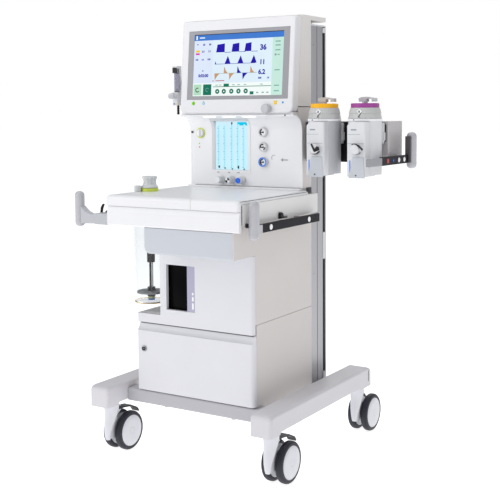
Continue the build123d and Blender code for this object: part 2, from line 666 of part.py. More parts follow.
def column_fittings():
    """Top caps, foot plugs and the clamp plates held in the slots."""
    pieces = []
    for side in (-1, 1):
        x = sorted((side * COLUMN_HALF_X[0], side * COLUMN_HALF_X[1]))
        pieces.append(block(x, COLUMN_Y, (COLUMN_Z[1], COLUMN_Z[1] + 5)))
        for z, reach in (((199, 223), 2.5), ((600, 688), 1.0), ((1337, 1353), 1.5)):
            plug_x = sorted((side * (HALF - 5.5), side * (HALF + reach)))
            pieces.append(block(plug_x, (SLOT_Y[0] + 0.2, SLOT_Y[1] - 0.2), z))
    return pieces


# ---- gas panel ----
def cove_curve(radius):
    """Gas panel line in the YZ plane: up the face, a quarter cove, then forward to the lip."""
    centre = PANEL_Y - COVE_R
    face_y = centre + radius
    top = PANEL_Z[1] + radius
    middle = radius * math.sin(math.pi / 4)
    rise = Line((face_y, PANEL_Z[0]), (face_y, PANEL_Z[1]))
    bend = ThreePointArc((face_y, PANEL_Z[1]), (centre + middle, PANEL_Z[1] + middle), (centre, top))
    return [rise, bend, Line((centre, top), (COVE_LIP_Y, top))]


def gas_panel():
    """Front panel that curves forward under the monitor, with its holes for the controls."""
    front = cove_curve(COVE_R)
    back = cove_curve(COVE_R + PANEL_T)
    foot = Line(front[0] @ 0, back[0] @ 0)
    lip = Line(front[2] @ 1, back[2] @ 1)
    face = make_face(Plane.YZ * Wire([*front, lip, *back, foot]))
    panel = Pos(PANEL_X[0], 0, 0) * extrude(face, amount=PANEL_X[1] - PANEL_X[0], dir=(1, 0, 0))
    window_x, window_z = FLOW_WINDOW
    panel -= block(window_x, (COVE_LIP_Y + 6, PANEL_Y + 10), window_z)
    for knob_x in FLOW_X:
        panel -= rod_y(3 + FIT, (PANEL_Y - 5, PANEL_Y + 10), knob_x, FLOW_Z)
    panel -= rod_y(4 + FIT, (PANEL_Y - 5, PANEL_Y + 10), SWITCH_X, SWITCH_Z)
    for gauge_z in GAUGE_Z:
        panel -= rod_y(GAUGE_R + FIT, (PANEL_Y - 5, PANEL_Y + 10), GAUGE_X, gauge_z)
    return panel


def flow_window():
    """Lit flow display: back plate and five vertical metering tubes."""
    x, z = FLOW_WINDOW
    top = z[1]
    plate = block((x[0] - 6, x[1] + 6), (PANEL_Y + 8, PANEL_Y + 14), (z[0] - 6, top + 6))
    lens = block((x[0] + GAP, x[1] - GAP), (PANEL_Y + 2, PANEL_Y + 8), (z[0] + GAP, top - GAP))
    pieces = [plate, lens]
    for tube_x in TUBE_X:
        pieces.append(rod_z(2.6, (z[0] + 8, top - 10), tube_x, PANEL_Y - 1))
    return pieces


def flow_knob(x):
    """Flow control knob: skirt, grip, cap and the stem through the panel."""
    steps = (PANEL_Y - 28, PANEL_Y - 16, PANEL_Y - 9, PANEL_Y - GAP, PANEL_Y + 8)
    return knob_along_y((9, 10, 12, 3), steps, x, FLOW_Z)


def pressure_gauges():
    """Three round gauges on the panel's right."""
    pieces = []
    for gauge_z in GAUGE_Z:
        case = rod_y(GAUGE_R, (PANEL_Y - 10, PANEL_Y + 20), GAUGE_X, gauge_z)
        case = fillet(case.edges().sort_by(Axis.Y)[0], 2)
        pieces.append(case - rod_y(11.5, (PANEL_Y - 12, PANEL_Y - 8), GAUGE_X, gauge_z))
    return pieces


def main_switch():
    """Rotary main switch with a raised grip bar."""
    steps = (PANEL_Y - 9, PANEL_Y - GAP, PANEL_Y + 8)
    knob = knob_along_y((12, 4), steps, SWITCH_X, SWITCH_Z)
    return knob + block((SWITCH_X - 3, SWITCH_X + 3), (PANEL_Y - 15, PANEL_Y - 8), (SWITCH_Z - 10, SWITCH_Z + 10))


# ---- monitor ----
def monitor_front():
    """White front frame with rounded corners and a pocket for the screen unit."""
    width = PANEL_X[1] - PANEL_X[0]
    frame = Pos(0, MONITOR_H / 2, -MONITOR_T / 2) * Box(width, MONITOR_H, MONITOR_T)
    corners = frame.edges().filter_by(Axis.Z)
    frame = fillet(corners.group_by(Axis.Y)[-1], 8)
    frame = fillet(frame.edges().filter_by(Axis.Z).group_by(Axis.Y)[0], 22)
    frame = fillet(frame.faces().sort_by(Axis.Z)[-1].edges(), 5)
    middle = (BEZEL_Z[0] + BEZEL_Z[1]) / 2
    pocket = Pos(BEZEL_X, middle, 0) * Box(BEZEL_W, BEZEL_Z[1] - BEZEL_Z[0], 2 * POCKET_T)
    frame -= pocket
    knob_x = KNOB_X - (PANEL_X[0] + PANEL_X[1]) / 2
    frame -= Pos(knob_x, KNOB_UP, 0) * Cylinder(4 + FIT, 24)
    return monitor_place() * frame


def monitor_back():
    """Rear housing behind the front frame, with the top plate that reaches over the columns."""
    tilt = math.radians(MONITOR_TILT)
    up = (math.sin(tilt), math.cos(tilt))
    back = (math.cos(tilt), -math.sin(tilt))

    def on_back(height):
        y = MONITOR_FOOT[0] + back[0] * (MONITOR_T + GAP) + up[0] * height
        return y, MONITOR_FOOT[1] + back[1] * (MONITOR_T + GAP) + up[1] * height

    outline = [on_back(24), on_back(MONITOR_H - 4), (CAB_BACK, TOP_PLATE_Z[1] - 4), (CAB_BACK, 1100)]
    housing = prism_x(outline, (PANEL_X[0] + 1, PANEL_X[1]))
    plate = block(PANEL_X, (306, TOP_PLATE_BACK), TOP_PLATE_Z)
    plate = fillet(upright_edges(plate).group_by(Axis.Y)[-1], 14)
    for slot_x in range(-150, 160, 20):
        housing -= block((slot_x, slot_x + 8), (CAB_BACK - 3, CAB_BACK + 1), (1180, 1300))
    return housing + plate


def screen():
    """Screen unit: grey bezel with the glass set slightly into it."""
    height = BEZEL_Z[1] - BEZEL_Z[0]
    middle = (BEZEL_Z[0] + BEZEL_Z[1]) / 2
    unit = Pos(BEZEL_X, middle, -POCKET_T / 2) * Box(BEZEL_W - 1, height - 1, POCKET_T)
    unit -= Pos(BEZEL_X, middle, 0) * Box(338, 201, 3)
    return monitor_place() * unit


def monitor_knob():
    """Turn-and-press selection knob under the screen."""
    knob_x = KNOB_X - (PANEL_X[0] + PANEL_X[1]) / 2
    grip = Pos(knob_x, KNOB_UP, 9.5) * Cylinder(14.5, 17)
    grip = fillet(grip.edges().sort_by(Axis.Z)[-1], 3)
    stem = Pos(knob_x, KNOB_UP, -3) * Cylinder(4, 12)
    return monitor_place() * (grip + stem)


# ---- auxiliary oxygen flowmeter ----
def aux_flowmeter():
    """Oxygen flowmeter on a bracket at the monitor's left side, with its outlet barb."""
    x = (AUX_X - 10, AUX_X + 10)
    body = block(x, AUX_Y, (AUX_Z[0], AUX_Z[0] + 44))
    body += block(x, (AUX_Y[0] + 12, AUX_Y[1]), AUX_Z)
    body += block(x, AUX_Y, (AUX_Z[1] - 8, AUX_Z[1]))
    body = fillet(upright_edges(body).group_by(Axis.Y)[0], 2)
    body += block((AUX_X + 9, PANEL_X[0]), (AUX_Y[1] - 2, AUX_Y[1] + 14), (1150, 1190))
    body += block((AUX_X - 10, PANEL_X[0]), (AUX_Y[1] - 6, AUX_Y[1] + 14), (1168, 1172))
    body -= rod_y(3 + FIT, (AUX_Y[0] - 1, AUX_Y[0] + 10), AUX_X, AUX_Z[0] + 31)
    tube = rod_z(5.5, (AUX_Z[0] + 44, AUX_Z[1] - 8), AUX_X, AUX_Y[0] + 6)
    barb = rod_z(3.5, (AUX_Z[0] - 30, AUX_Z[0]), AUX_X + 4, AUX_Y[0] + 12)
    return [body, tube, barb]


def aux_flow_knob():
    """Knob of the auxiliary flowmeter."""
    steps = (AUX_Y[0] - 26, AUX_Y[0] - 10, AUX_Y[0] - GAP, AUX_Y[0] + 8)
    return knob_along_y((9.5, 8, 3), steps, AUX_X, AUX_Z[0] + 31)


# ---- vaporizers ----
def vaporizer_manifold():
    """Mounting beam for the vaporizers, with the black seat plate and two docking blocks."""
    beam = block(*MANIFOLD)
    beam = fillet(upright_edges(beam).group_by(Axis.X)[-1], 4)
    seat = block((MANIFOLD[0][0] + 4, MANIFOLD[0][1] - 30), (MANIFOLD[1][0] - 3, MANIFOLD[1][0]), (928, 1051))
    pieces = [beam, seat]
    for x in VAP_X:
        dock = block((x - 24, x + 36), (VAP_Y + VAP_R - 2, MANIFOLD[1][0] - 3), (985, 1049))
        pieces.append(dock - rod_z(VAP_R + GAP, (900, 1100), x, VAP_Y))
    return pieces


def vaporizer_bodies():
    """Two identical vaporizers: barrel, front plate, filler knob and the post for the dial."""
    pieces = []
    for x in VAP_X:
        body = rod_z(VAP_R, (VAP_Z0 + 4, VAP_Z1), x, VAP_Y)
        left, right = x + PLATE_X[0], x + PLATE_X[1]
        top = VAP_Z1 - 2
        outline = [(left, VAP_Z0), (right, VAP_Z0), (right, top), (left + 14, top), (left, top - 12)]
        plate = prism_y(outline, (VAP_Y + PLATE_Y0, VAP_Y))
        body += fillet(upright_edges(plate).group_by(Axis.Y)[0], 6)
        body += rod_z(VAP_R + 1, (VAP_Z1, DIAL_Z[0] - GAP), x, VAP_Y)
        body += rod_z(POST_R, (VAP_Z1, LEVER_Z[0] - GAP), x, VAP_Y)
        front = VAP_Y + PLATE_Y0
        body += rod_y(14, (front - 14, front + 1), x + 5, 973)
        pieces.append(body)
    return pieces


def vaporizer_dial(x):
    """Concentration dial: a tapered skirt with a ring on top, bored for the post."""
    low = DIAL_Z[0]
    skirt_h = 32.0
    skirt = Pos(x, VAP_Y, low + skirt_h / 2) * Cone(VAP_R + 0.5, 43.5, skirt_h)
    ring = rod_z(42.5, (low + skirt_h, DIAL_Z[1]), x, VAP_Y)
    ring = fillet(ring.edges().sort_by(Axis.Z)[-1], 3)
    for notch in PolarLocations(VAP_R + 2.2, 40):
        skirt -= Pos(x, VAP_Y, low + 9) * notch * Cylinder(2.4, 18)
    return skirt + ring - rod_z(POST_R + FIT, (low - 1, DIAL_Z[1] + 1), x, VAP_Y)


def vaporizer_lever(x):
    """Lock lever: an arched bar above the dial; its broad left foot is the hub over the post."""
    hub = rod_z(9, (LEVER_Z[0] - GAP + FIT, LEVER_Z[1] - 5), x, VAP_Y)
    low, high = LEVER_Z
    outline = [(x - 16, low), (x - 18, high - 5), (x - 9, high - 1), (x + 8, high), (x + 36, high - 4),
               (x + 36, low), (x + 25, low), (x + 25, high - 7), (x + 9, high - 6), (x + 9, low)]
    bar = prism_y(outline, (VAP_Y - 9, VAP_Y + 9))
    return hub + bar


# ---- write every node ----
def machine():
    """All nodes by name, in the frame described at the top."""
    nodes = {
        "base_legs": [base_leg(side) for side in SIDE.values()],
        "base_crossbeams": base_crossbeams(),
        "lower_cabinet": lower_cabinet(),
        "side_panels": side_panels(),
        "drawer_front": drawer_front(),
        "drawer_box": drawer_box(),
        "drawer_lock": drawer_lock(),
        "ventilator_cabinet": ventilator_cabinet(),
        "front_fascia": front_fascia(),
        "cabinet_modules": cabinet_modules(),
        "back_panels": back_panels(),
        "rear_connectors": rear_connectors(),
        "breathing_block": breathing_block(),
        "breathing_housing": breathing_housing(),
        "absorber_canister": absorber_canister(),
        "canister_insert": canister_insert(),
        "table_frame": table_frame(),
        "breathing_cover": breathing_cover(),
        "table_top": table_top(),
        "writing_tray": writing_tray(),
        "side_rails": side_rails(),
        "handle_grips": handle_grips(),
        "handle_arms": handle_arms(),
        "apl_knob": apl_knob(),
        "bag_selector": bag_selector(),
        "columns": columns(),
        "column_fittings": column_fittings(),
        "gas_panel": gas_panel(),
        "flow_window": flow_window(),
        "pressure_gauges": pressure_gauges(),
        "main_switch": main_switch(),
        "monitor_front": monitor_front(),
        "monitor_back": monitor_back(),
        "screen": screen(),
        "monitor_knob": monitor_knob(),
        "aux_flowmeter": aux_flowmeter(),
        "aux_flow_knob": aux_flow_knob(),
        "vaporizer_manifold": vaporizer_manifold(),
        "vaporizer_bodies": vaporizer_bodies(),
    }
    for side_name, side in SIDE.items():
        for end in CASTER_Y:
            nodes[f"caster_fork_{end}_{side_name}"] = caster_fork(side, end)
            nodes[f"caster_tyres_{end}_{side_name}"] = caster_tyres(side, end)
            nodes[f"caster_discs_{end}_{side_name}"] = caster_discs(side, end)
        nodes[f"brake_pedal_front_{side_name}"] = brake_pedal(side, "front")
    for gas, x in zip(("oxygen", "air", "nitrous"), FLOW_X):
        nodes[f"flow_knob_{gas}"] = flow_knob(x)
    for colour, x in zip(VAP_NAMES, VAP_X):
        nodes[f"vaporizer_dial_{colour}"] = vaporizer_dial(x)
        nodes[f"vaporizer_lever_{colour}"] = vaporizer_lever(x)
    return nodes


def write_parts():
    os.makedirs("parts", exist_ok=True)
    shift = Pos(-ORIGIN_X, -ORIGIN_Y, 0)
    for name, shape in machine().items():
        solids = shape if isinstance(shape, list) else [shape]
        placed = [shift * solid for solid in solids]
        whole = placed[0] if len(placed) == 1 else Compound(children=placed)
        export_step(whole, f"parts/{name}.step")


write_parts()
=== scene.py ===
import bmesh
import bpy
import json
from math import atan2, cos, pi, radians, sin, sqrt
from mathutils import Matrix, Vector


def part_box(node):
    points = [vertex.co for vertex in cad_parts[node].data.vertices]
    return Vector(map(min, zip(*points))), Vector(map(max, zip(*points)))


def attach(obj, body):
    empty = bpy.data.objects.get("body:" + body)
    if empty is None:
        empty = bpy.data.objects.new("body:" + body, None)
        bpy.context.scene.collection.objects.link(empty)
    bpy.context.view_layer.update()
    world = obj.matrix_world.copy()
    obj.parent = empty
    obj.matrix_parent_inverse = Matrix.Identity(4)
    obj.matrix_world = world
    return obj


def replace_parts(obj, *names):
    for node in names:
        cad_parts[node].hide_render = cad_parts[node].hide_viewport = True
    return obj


# Looks of the anaesthesia machine. Places on it are given in millimetres from the middle of the drawer's
# front face, at floor level: X to the right, Y to the back, Z up. place() turns them into the row frame.

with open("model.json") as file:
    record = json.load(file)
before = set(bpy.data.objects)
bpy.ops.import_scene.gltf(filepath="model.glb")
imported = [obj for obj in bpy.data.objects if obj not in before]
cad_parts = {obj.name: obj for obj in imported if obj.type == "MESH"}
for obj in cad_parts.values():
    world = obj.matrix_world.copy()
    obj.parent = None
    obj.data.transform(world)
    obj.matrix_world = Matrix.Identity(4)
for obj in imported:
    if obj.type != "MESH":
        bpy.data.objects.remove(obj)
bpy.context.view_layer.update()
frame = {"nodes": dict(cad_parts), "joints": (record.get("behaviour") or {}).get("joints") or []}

MM = 0.001
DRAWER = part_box("drawer_front")
HOME = Vector(((DRAWER[0].x + DRAWER[1].x) / 2, DRAWER[0].y, 0))
WORLD_UP = Vector((0, 0, 1))
RIGHTWARD = Vector((1, 0, 0))
BACKWARD = Vector((0, 1, 0))


def in_scene(name, data):
    """A new object in the scene."""
    thing = bpy.data.objects.new(name, data)
    bpy.context.scene.collection.objects.link(thing)
    return thing


def place(x, y, z):
    """Row-frame point of a place given in millimetres."""
    return HOME + Vector((x, y, z)) * MM


def view_plane(origin, right, up):
    """Matrix from (u, v, w) in millimetres on a plane, w out of it, to the row frame."""
    out = right.cross(up)
    turn = Matrix((right, up, out)).transposed().to_4x4()
    return Matrix.Translation(origin) @ turn @ Matrix.Scale(MM, 4)


# Planes that face the front, the right, the left, the back and up.
def front(y):
    return view_plane(place(0, y, 0), RIGHTWARD, WORLD_UP)


def right_side(x):
    return view_plane(place(x, 0, 0), BACKWARD, WORLD_UP)


def left_side(x):
    return view_plane(place(x, 0, 0), -BACKWARD, WORLD_UP)


def rear(y):
    return view_plane(place(0, y, 0), -RIGHTWARD, WORLD_UP)


def top(z):
    return view_plane(place(0, 0, z), RIGHTWARD, BACKWARD)


def edges_of(node):
    """A node's lowest and highest corners, in the millimetres used here."""
    return [(corner - HOME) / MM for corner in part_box(node)]


def middle_of(node):
    low, high = edges_of(node)
    return (low + high) / 2


# ---- outlines ----
def rectangle(u0, u1, v0, v1):
    return [(u0, v0), (u1, v0), (u1, v1), (u0, v1)]


def rounded(u0, u1, v0, v1, radius):
    """Rectangle with round corners."""
    steps = 5
    corners = ((u1 - radius, v1 - radius, 0), (u0 + radius, v1 - radius, 90),
               (u0 + radius, v0 + radius, 180), (u1 - radius, v0 + radius, 270))
    points = []
    for cu, cv, start in corners:
        for step in range(steps + 1):
            angle = radians(start + 90 * step / steps)
            points.append((cu + radius * cos(angle), cv + radius * sin(angle)))
    return points


def oval(u, v, half_u, half_v, count=28):
    angles = [2 * pi * step / count for step in range(count)]
    return [(u + half_u * cos(angle), v + half_v * sin(angle)) for angle in angles]


def disc(u, v, radius, count=28):
    return oval(u, v, radius, radius, count)


def arc_band(u, v, inner, outer, start, end, steps=14):
    """Part of a ring between two angles in degrees, as one closed outline."""
    turns = [radians(start + (end - start) * step / steps) for step in range(steps + 1)]
    outside = [(u + outer * cos(a), v + outer * sin(a)) for a in turns]
    inside = [(u + inner * cos(a), v + inner * sin(a)) for a in reversed(turns)]
    return outside + inside


# ---- pieces ----
FONT_SIZE = 1.38        # a figure's font size, for a height of 1
BOLDNESS = 0.06
SHARP_FROM = radians(32)


class Piece:
    """One named mesh gathered from simple solids on a plane, each with the name of its material in M."""

    def __init__(self, name, plane, body="machine"):
        self.name = name
        self.body = body
        self.plane = plane
        self.mesh = bmesh.new()
        self.materials = []

    def slot(self, material):
        if material not in self.materials:
            self.materials.append(material)
        return self.materials.index(material)

    def solid(self, rings, material, closed_ends=True, smooth=False):
        """Skin over rings of (u, v, w) points."""
        index = self.slot(material)
        loops = [[self.mesh.verts.new(self.plane @ Vector(point)) for point in ring] for ring in rings]
        faces = []
        count = len(loops[0])
        for lower, upper in zip(loops, loops[1:]):
            for i in range(count):
                j = (i + 1) % count
                faces.append(self.mesh.faces.new((lower[i], lower[j], upper[j], upper[i])))
        if closed_ends:
            faces.append(self.mesh.faces.new(list(reversed(loops[0]))))
            faces.append(self.mesh.faces.new(loops[-1]))
        for face in faces:
            face.material_index = index
            face.smooth = smooth
        return faces

    def slab(self, outline, low, high, material, bevel=0.0):
        """A flat solid from an outline, between two heights, with its upper rim rounded."""
        rings = [[(u, v, low) for u, v in outline]]
        if bevel:
            for share in (0.0, 0.5, 1.0):
                inward = bevel * (1 - cos(share * pi / 2))
                rise = high - bevel + bevel * sin(share * pi / 2)
                rings.append([(u, v, rise) for u, v in inset(outline, inward)])
        else:
            rings.append([(u, v, high) for u, v in outline])
        self.solid(rings, material)

    def lathe(self, u, v, profile, material, count=40, flutes=0, depth=0.0):
        """A turned solid standing on the plane: profile is a list of (radius, height)."""
        rings = []
        for radius, height in profile:
            ring = []
            for step in range(count):
                angle = 2 * pi * step / count
                wave = depth * (0.5 + 0.5 * cos(flutes * angle)) if flutes else 0.0
                reach = radius - wave if radius > 3 * depth else radius
                ring.append((u + reach * cos(angle), v + reach * sin(angle), height))
            rings.append(ring)
        self.solid(rings, material, smooth=True)

    def hoop(self, u, v, profile, material):
        """A ring: the profile of (radius, height) closes on itself."""
        count = 56
        turns = [2 * pi * step / count for step in range(count)]
        rings = [[(u + radius * cos(a), v + radius * sin(a), height) for a in turns]
                 for radius, height in (*profile, profile[0])]
        self.solid(rings, material, closed_ends=False, smooth=True)

    def band(self, u, v, inner, outer, low, high, material):
        """A flat ring, as two halves."""
        for start in (0, 180):
            self.slab(arc_band(u, v, inner, outer, start, start + 180), low, high, material)

    def digits(self, words, u, v, height, low, high, material):
        """Generic figures, v at their foot and u at their left."""
        curve = bpy.data.curves.new("figures", "FONT")
        curve.body = words
        curve.size = height * FONT_SIZE
        curve.extrude = (high - low) / 2
        curve.offset = height * BOLDNESS
        curve.resolution_u = 3
        carrier = in_scene("figures", curve)
        bpy.context.view_layer.update()
        figures = bpy.data.meshes.new_from_object(carrier)
        figures.transform(self.plane @ Matrix.Translation((u, v, (low + high) / 2)))
        before = len(self.mesh.faces)
        self.mesh.from_mesh(figures)
        self.mesh.faces.ensure_lookup_table()
        index = self.slot(material)
        for face in self.mesh.faces[before:]:
            face.material_index = index
        bpy.data.objects.remove(carrier)
        bpy.data.curves.remove(curve)
        bpy.data.meshes.remove(figures)

    def done(self):
        """Makes the object, recalculates its normals and lets it ride on its body."""
        bmesh.ops.remove_doubles(self.mesh, verts=self.mesh.verts, dist=1e-7)
        bmesh.ops.recalc_face_normals(self.mesh, faces=self.mesh.faces)
        data = bpy.data.meshes.new(self.name)
        self.mesh.to_mesh(data)
        self.mesh.free()
        for material in self.materials:
            data.materials.append(M[material])
        data.set_sharp_from_angle(angle=SHARP_FROM)
        thing = in_scene(self.name, data)
        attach(thing, self.body)
        return thing


def inset(outline, distance):
    """The outline moved inward by a distance; outlines run counter-clockwise."""
    if distance <= 0:
        return outline
    moved = []
    count = len(outline)
    for i in range(count):
        before = Vector(outline[i - 1])
        here = Vector(outline[i])
        after = Vector(outline[(i + 1) % count])
        first = (here - before).normalized()
        second = (after - here).normalized()
        middle = first + second
        if middle.length < 1e-6:
            middle = first
        middle.normalize()
        normal = Vector((-middle.y, middle.x))
        spread = max(0.4, normal.dot(Vector((-first.y, first.x))))
        moved.append(tuple(here + normal * (distance / spread)))
    return moved


# ---- materials ----
def linear(red, green, blue):
    """Display colour, 0 to 255, as the linear colour that the shader takes."""
    parts = []
    for value in (red, green, blue):
        share = value / 255
        parts.append(share / 12.92 if share <= 0.04045 else ((share + 0.055) / 1.055) ** 2.4)
    return (*parts, 1.0)


class Nodes:
    """A material's node tree, with short calls to add and join nodes."""

    def __init__(self, name):
        self.material = bpy.data.materials.new(name)
        self.material.use_nodes = True
        self.tree = self.material.node_tree
        self.shader = self.tree.nodes["Principled BSDF"]

    def add(self, kind, settings=None, **inputs):
        """A new node; an input's name has _ for a space."""
        node = self.tree.nodes.new(kind)
        for key, value in (settings or {}).items():
            setattr(node, key, value)
        for key, value in inputs.items():
            self.feed(node.inputs[key.replace("_", " ")], value)
        return node

    def feed(self, socket, value):
        """Links another node's output to a socket, or sets the socket's own value."""
        if isinstance(value, bpy.types.NodeSocket):
            self.tree.links.new(value, socket)
        else:
            socket.default_value = value

    def shine(self, **inputs):
        """Feeds the material's shader."""
        for key, value in inputs.items():
            self.feed(self.shader.inputs[key.replace("_", " ")], value)
        return self.material

    def scaled(self, value, low, high, start=0.0, end=1.0):
        """A value that runs from start to end, spread over low to high."""
        node = self.add("ShaderNodeMapRange", Value=value, From_Min=start, From_Max=end, To_Min=low,
                        To_Max=high)
        return node.outputs["Result"]

    def noise(self, vector, scale, detail=3.0):
        node = self.add("ShaderNodeTexNoise", Vector=vector, Scale=scale, Detail=detail)
        return node.outputs["Fac"]

    def mix(self, factor, first, second):
        node = self.add("ShaderNodeMix", {"data_type": "RGBA"})
        for index, value in ((0, factor), (6, first), (7, second)):
            self.feed(node.inputs[index], value)
        return node.outputs[2]


def shade(colour, factor):
    """The colour made lighter or darker."""
    return (*(min(1.0, part * factor) for part in colour[:3]), 1.0)


EDGE_RADIUS = 0.0007
SEAM_REACH = 0.007


def surface(name, rgb, rough, metal=0.0, cloud=0.035, grain=0.05, grain_scale=1600.0, stretch=(1, 1, 1),
            coat=0.0, seam=0.3, edge=0.5, spec=0.5):
    """An opaque finish: soft colour clouds, uneven gloss, fine grain, paler edges, painted shade in the
    seams.

    Left as they are, grain and grain_scale give satin moulded plastic."""
    nodes = Nodes(name)
    base = linear(*rgb)
    where = nodes.add("ShaderNodeTexCoord").outputs["Object"]
    where = nodes.add("ShaderNodeMapping", Vector=where, Scale=stretch).outputs["Vector"]
    colour = nodes.mix(nodes.noise(where, 9.0, 4.0), shade(base, 1 - cloud), shade(base, 1 + cloud))
    fleck = nodes.scaled(nodes.noise(where, grain_scale / 3, 2.0), 0.0, 0.35)
    colour = nodes.mix(fleck, colour, shade(base, 1 - 2 * cloud))
    rounded_normal = nodes.add("ShaderNodeBevel", {"samples": 3}, Radius=EDGE_RADIUS).outputs["Normal"]
    # the edges are made paler than the faces, found from the bevel's rounded normal
    if edge:
        bend = nodes.add("ShaderNodeVectorMath", {"operation": "DOT_PRODUCT"})
        nodes.feed(bend.inputs[0], rounded_normal)
        nodes.feed(bend.inputs[1], nodes.add("ShaderNodeNewGeometry").outputs["Normal"])
        paler_edge = nodes.scaled(bend.outputs["Value"], 0.0, edge, 0.995, 0.86)
        colour = nodes.mix(paler_edge, colour, shade(base, 1.12))
    # painted shade: ambient occlusion darkens the colour in seams, corners and recesses, where shade falls
    if seam:
        crevice_shade = nodes.add("ShaderNodeAmbientOcclusion", {"samples": 3}, Distance=SEAM_REACH).outputs["AO"]
        colour = nodes.mix(nodes.scaled(crevice_shade, 0.0, 1.0, 0.15, 0.75), shade(base, 1 - seam), colour)
    gloss = nodes.scaled(nodes.noise(where, 35.0, 5.0), rough * 0.82, min(1.0, rough * 1.2))
    bump = nodes.add("ShaderNodeBump", Strength=grain, Distance=0.0006,
                     Height=nodes.noise(where, grain_scale, 3.0), Normal=rounded_normal)
    return nodes.shine(Base_Color=colour, Roughness=gloss, Normal=bump.outputs["Normal"], Metallic=metal,
                       Specular_IOR_Level=spec, Coat_Weight=coat, Coat_Roughness=0.08)


def light_surface(name, rgb, strength, drift=0.06, dots=1500.0):
    """Lit area behind a clear front: soft unevenness and a fine dot pattern."""
    nodes = Nodes(name)
    base = linear(*rgb)
    where = nodes.add("ShaderNodeTexCoord").outputs["Object"]
    colour = nodes.mix(nodes.noise(where, 14.0, 2.0), shade(base, 1 - drift), shade(base, 1 + drift))
    grid = nodes.add("ShaderNodeTexVoronoi", {"distance": "CHEBYCHEV"}, Vector=where, Scale=dots,
                     Randomness=0.0)
    cell = nodes.scaled(grid.outputs["Distance"], 1.0, 0.86)
    colour = nodes.mix(cell, shade(base, 0.9), colour)
    return nodes.shine(Base_Color=nodes.mix(0.92, colour, (0, 0, 0, 1)), Emission_Color=colour,
                       Emission_Strength=strength, Roughness=0.3, Specular_IOR_Level=0.06)


def clear_surface(name, rgb, rough):
    """Clear moulded plastic with faint flow marks and scuffs."""
    nodes = Nodes(name)
    base = linear(*rgb)
    where = nodes.add("ShaderNodeTexCoord").outputs["Object"]
    tint = nodes.mix(nodes.noise(where, 22.0, 3.0), shade(base, 0.97), shade(base, 1.0))
    gloss = nodes.scaled(nodes.noise(where, 60.0, 6.0), rough * 0.5, rough * 2.0)
    bump = nodes.add("ShaderNodeBump", Strength=0.012, Distance=0.0005,
                     Height=nodes.noise(where, 120.0, 2.0))
    return nodes.shine(Base_Color=tint, Roughness=gloss, Normal=bump.outputs["Normal"],
                       Transmission_Weight=1.0, IOR=1.34)


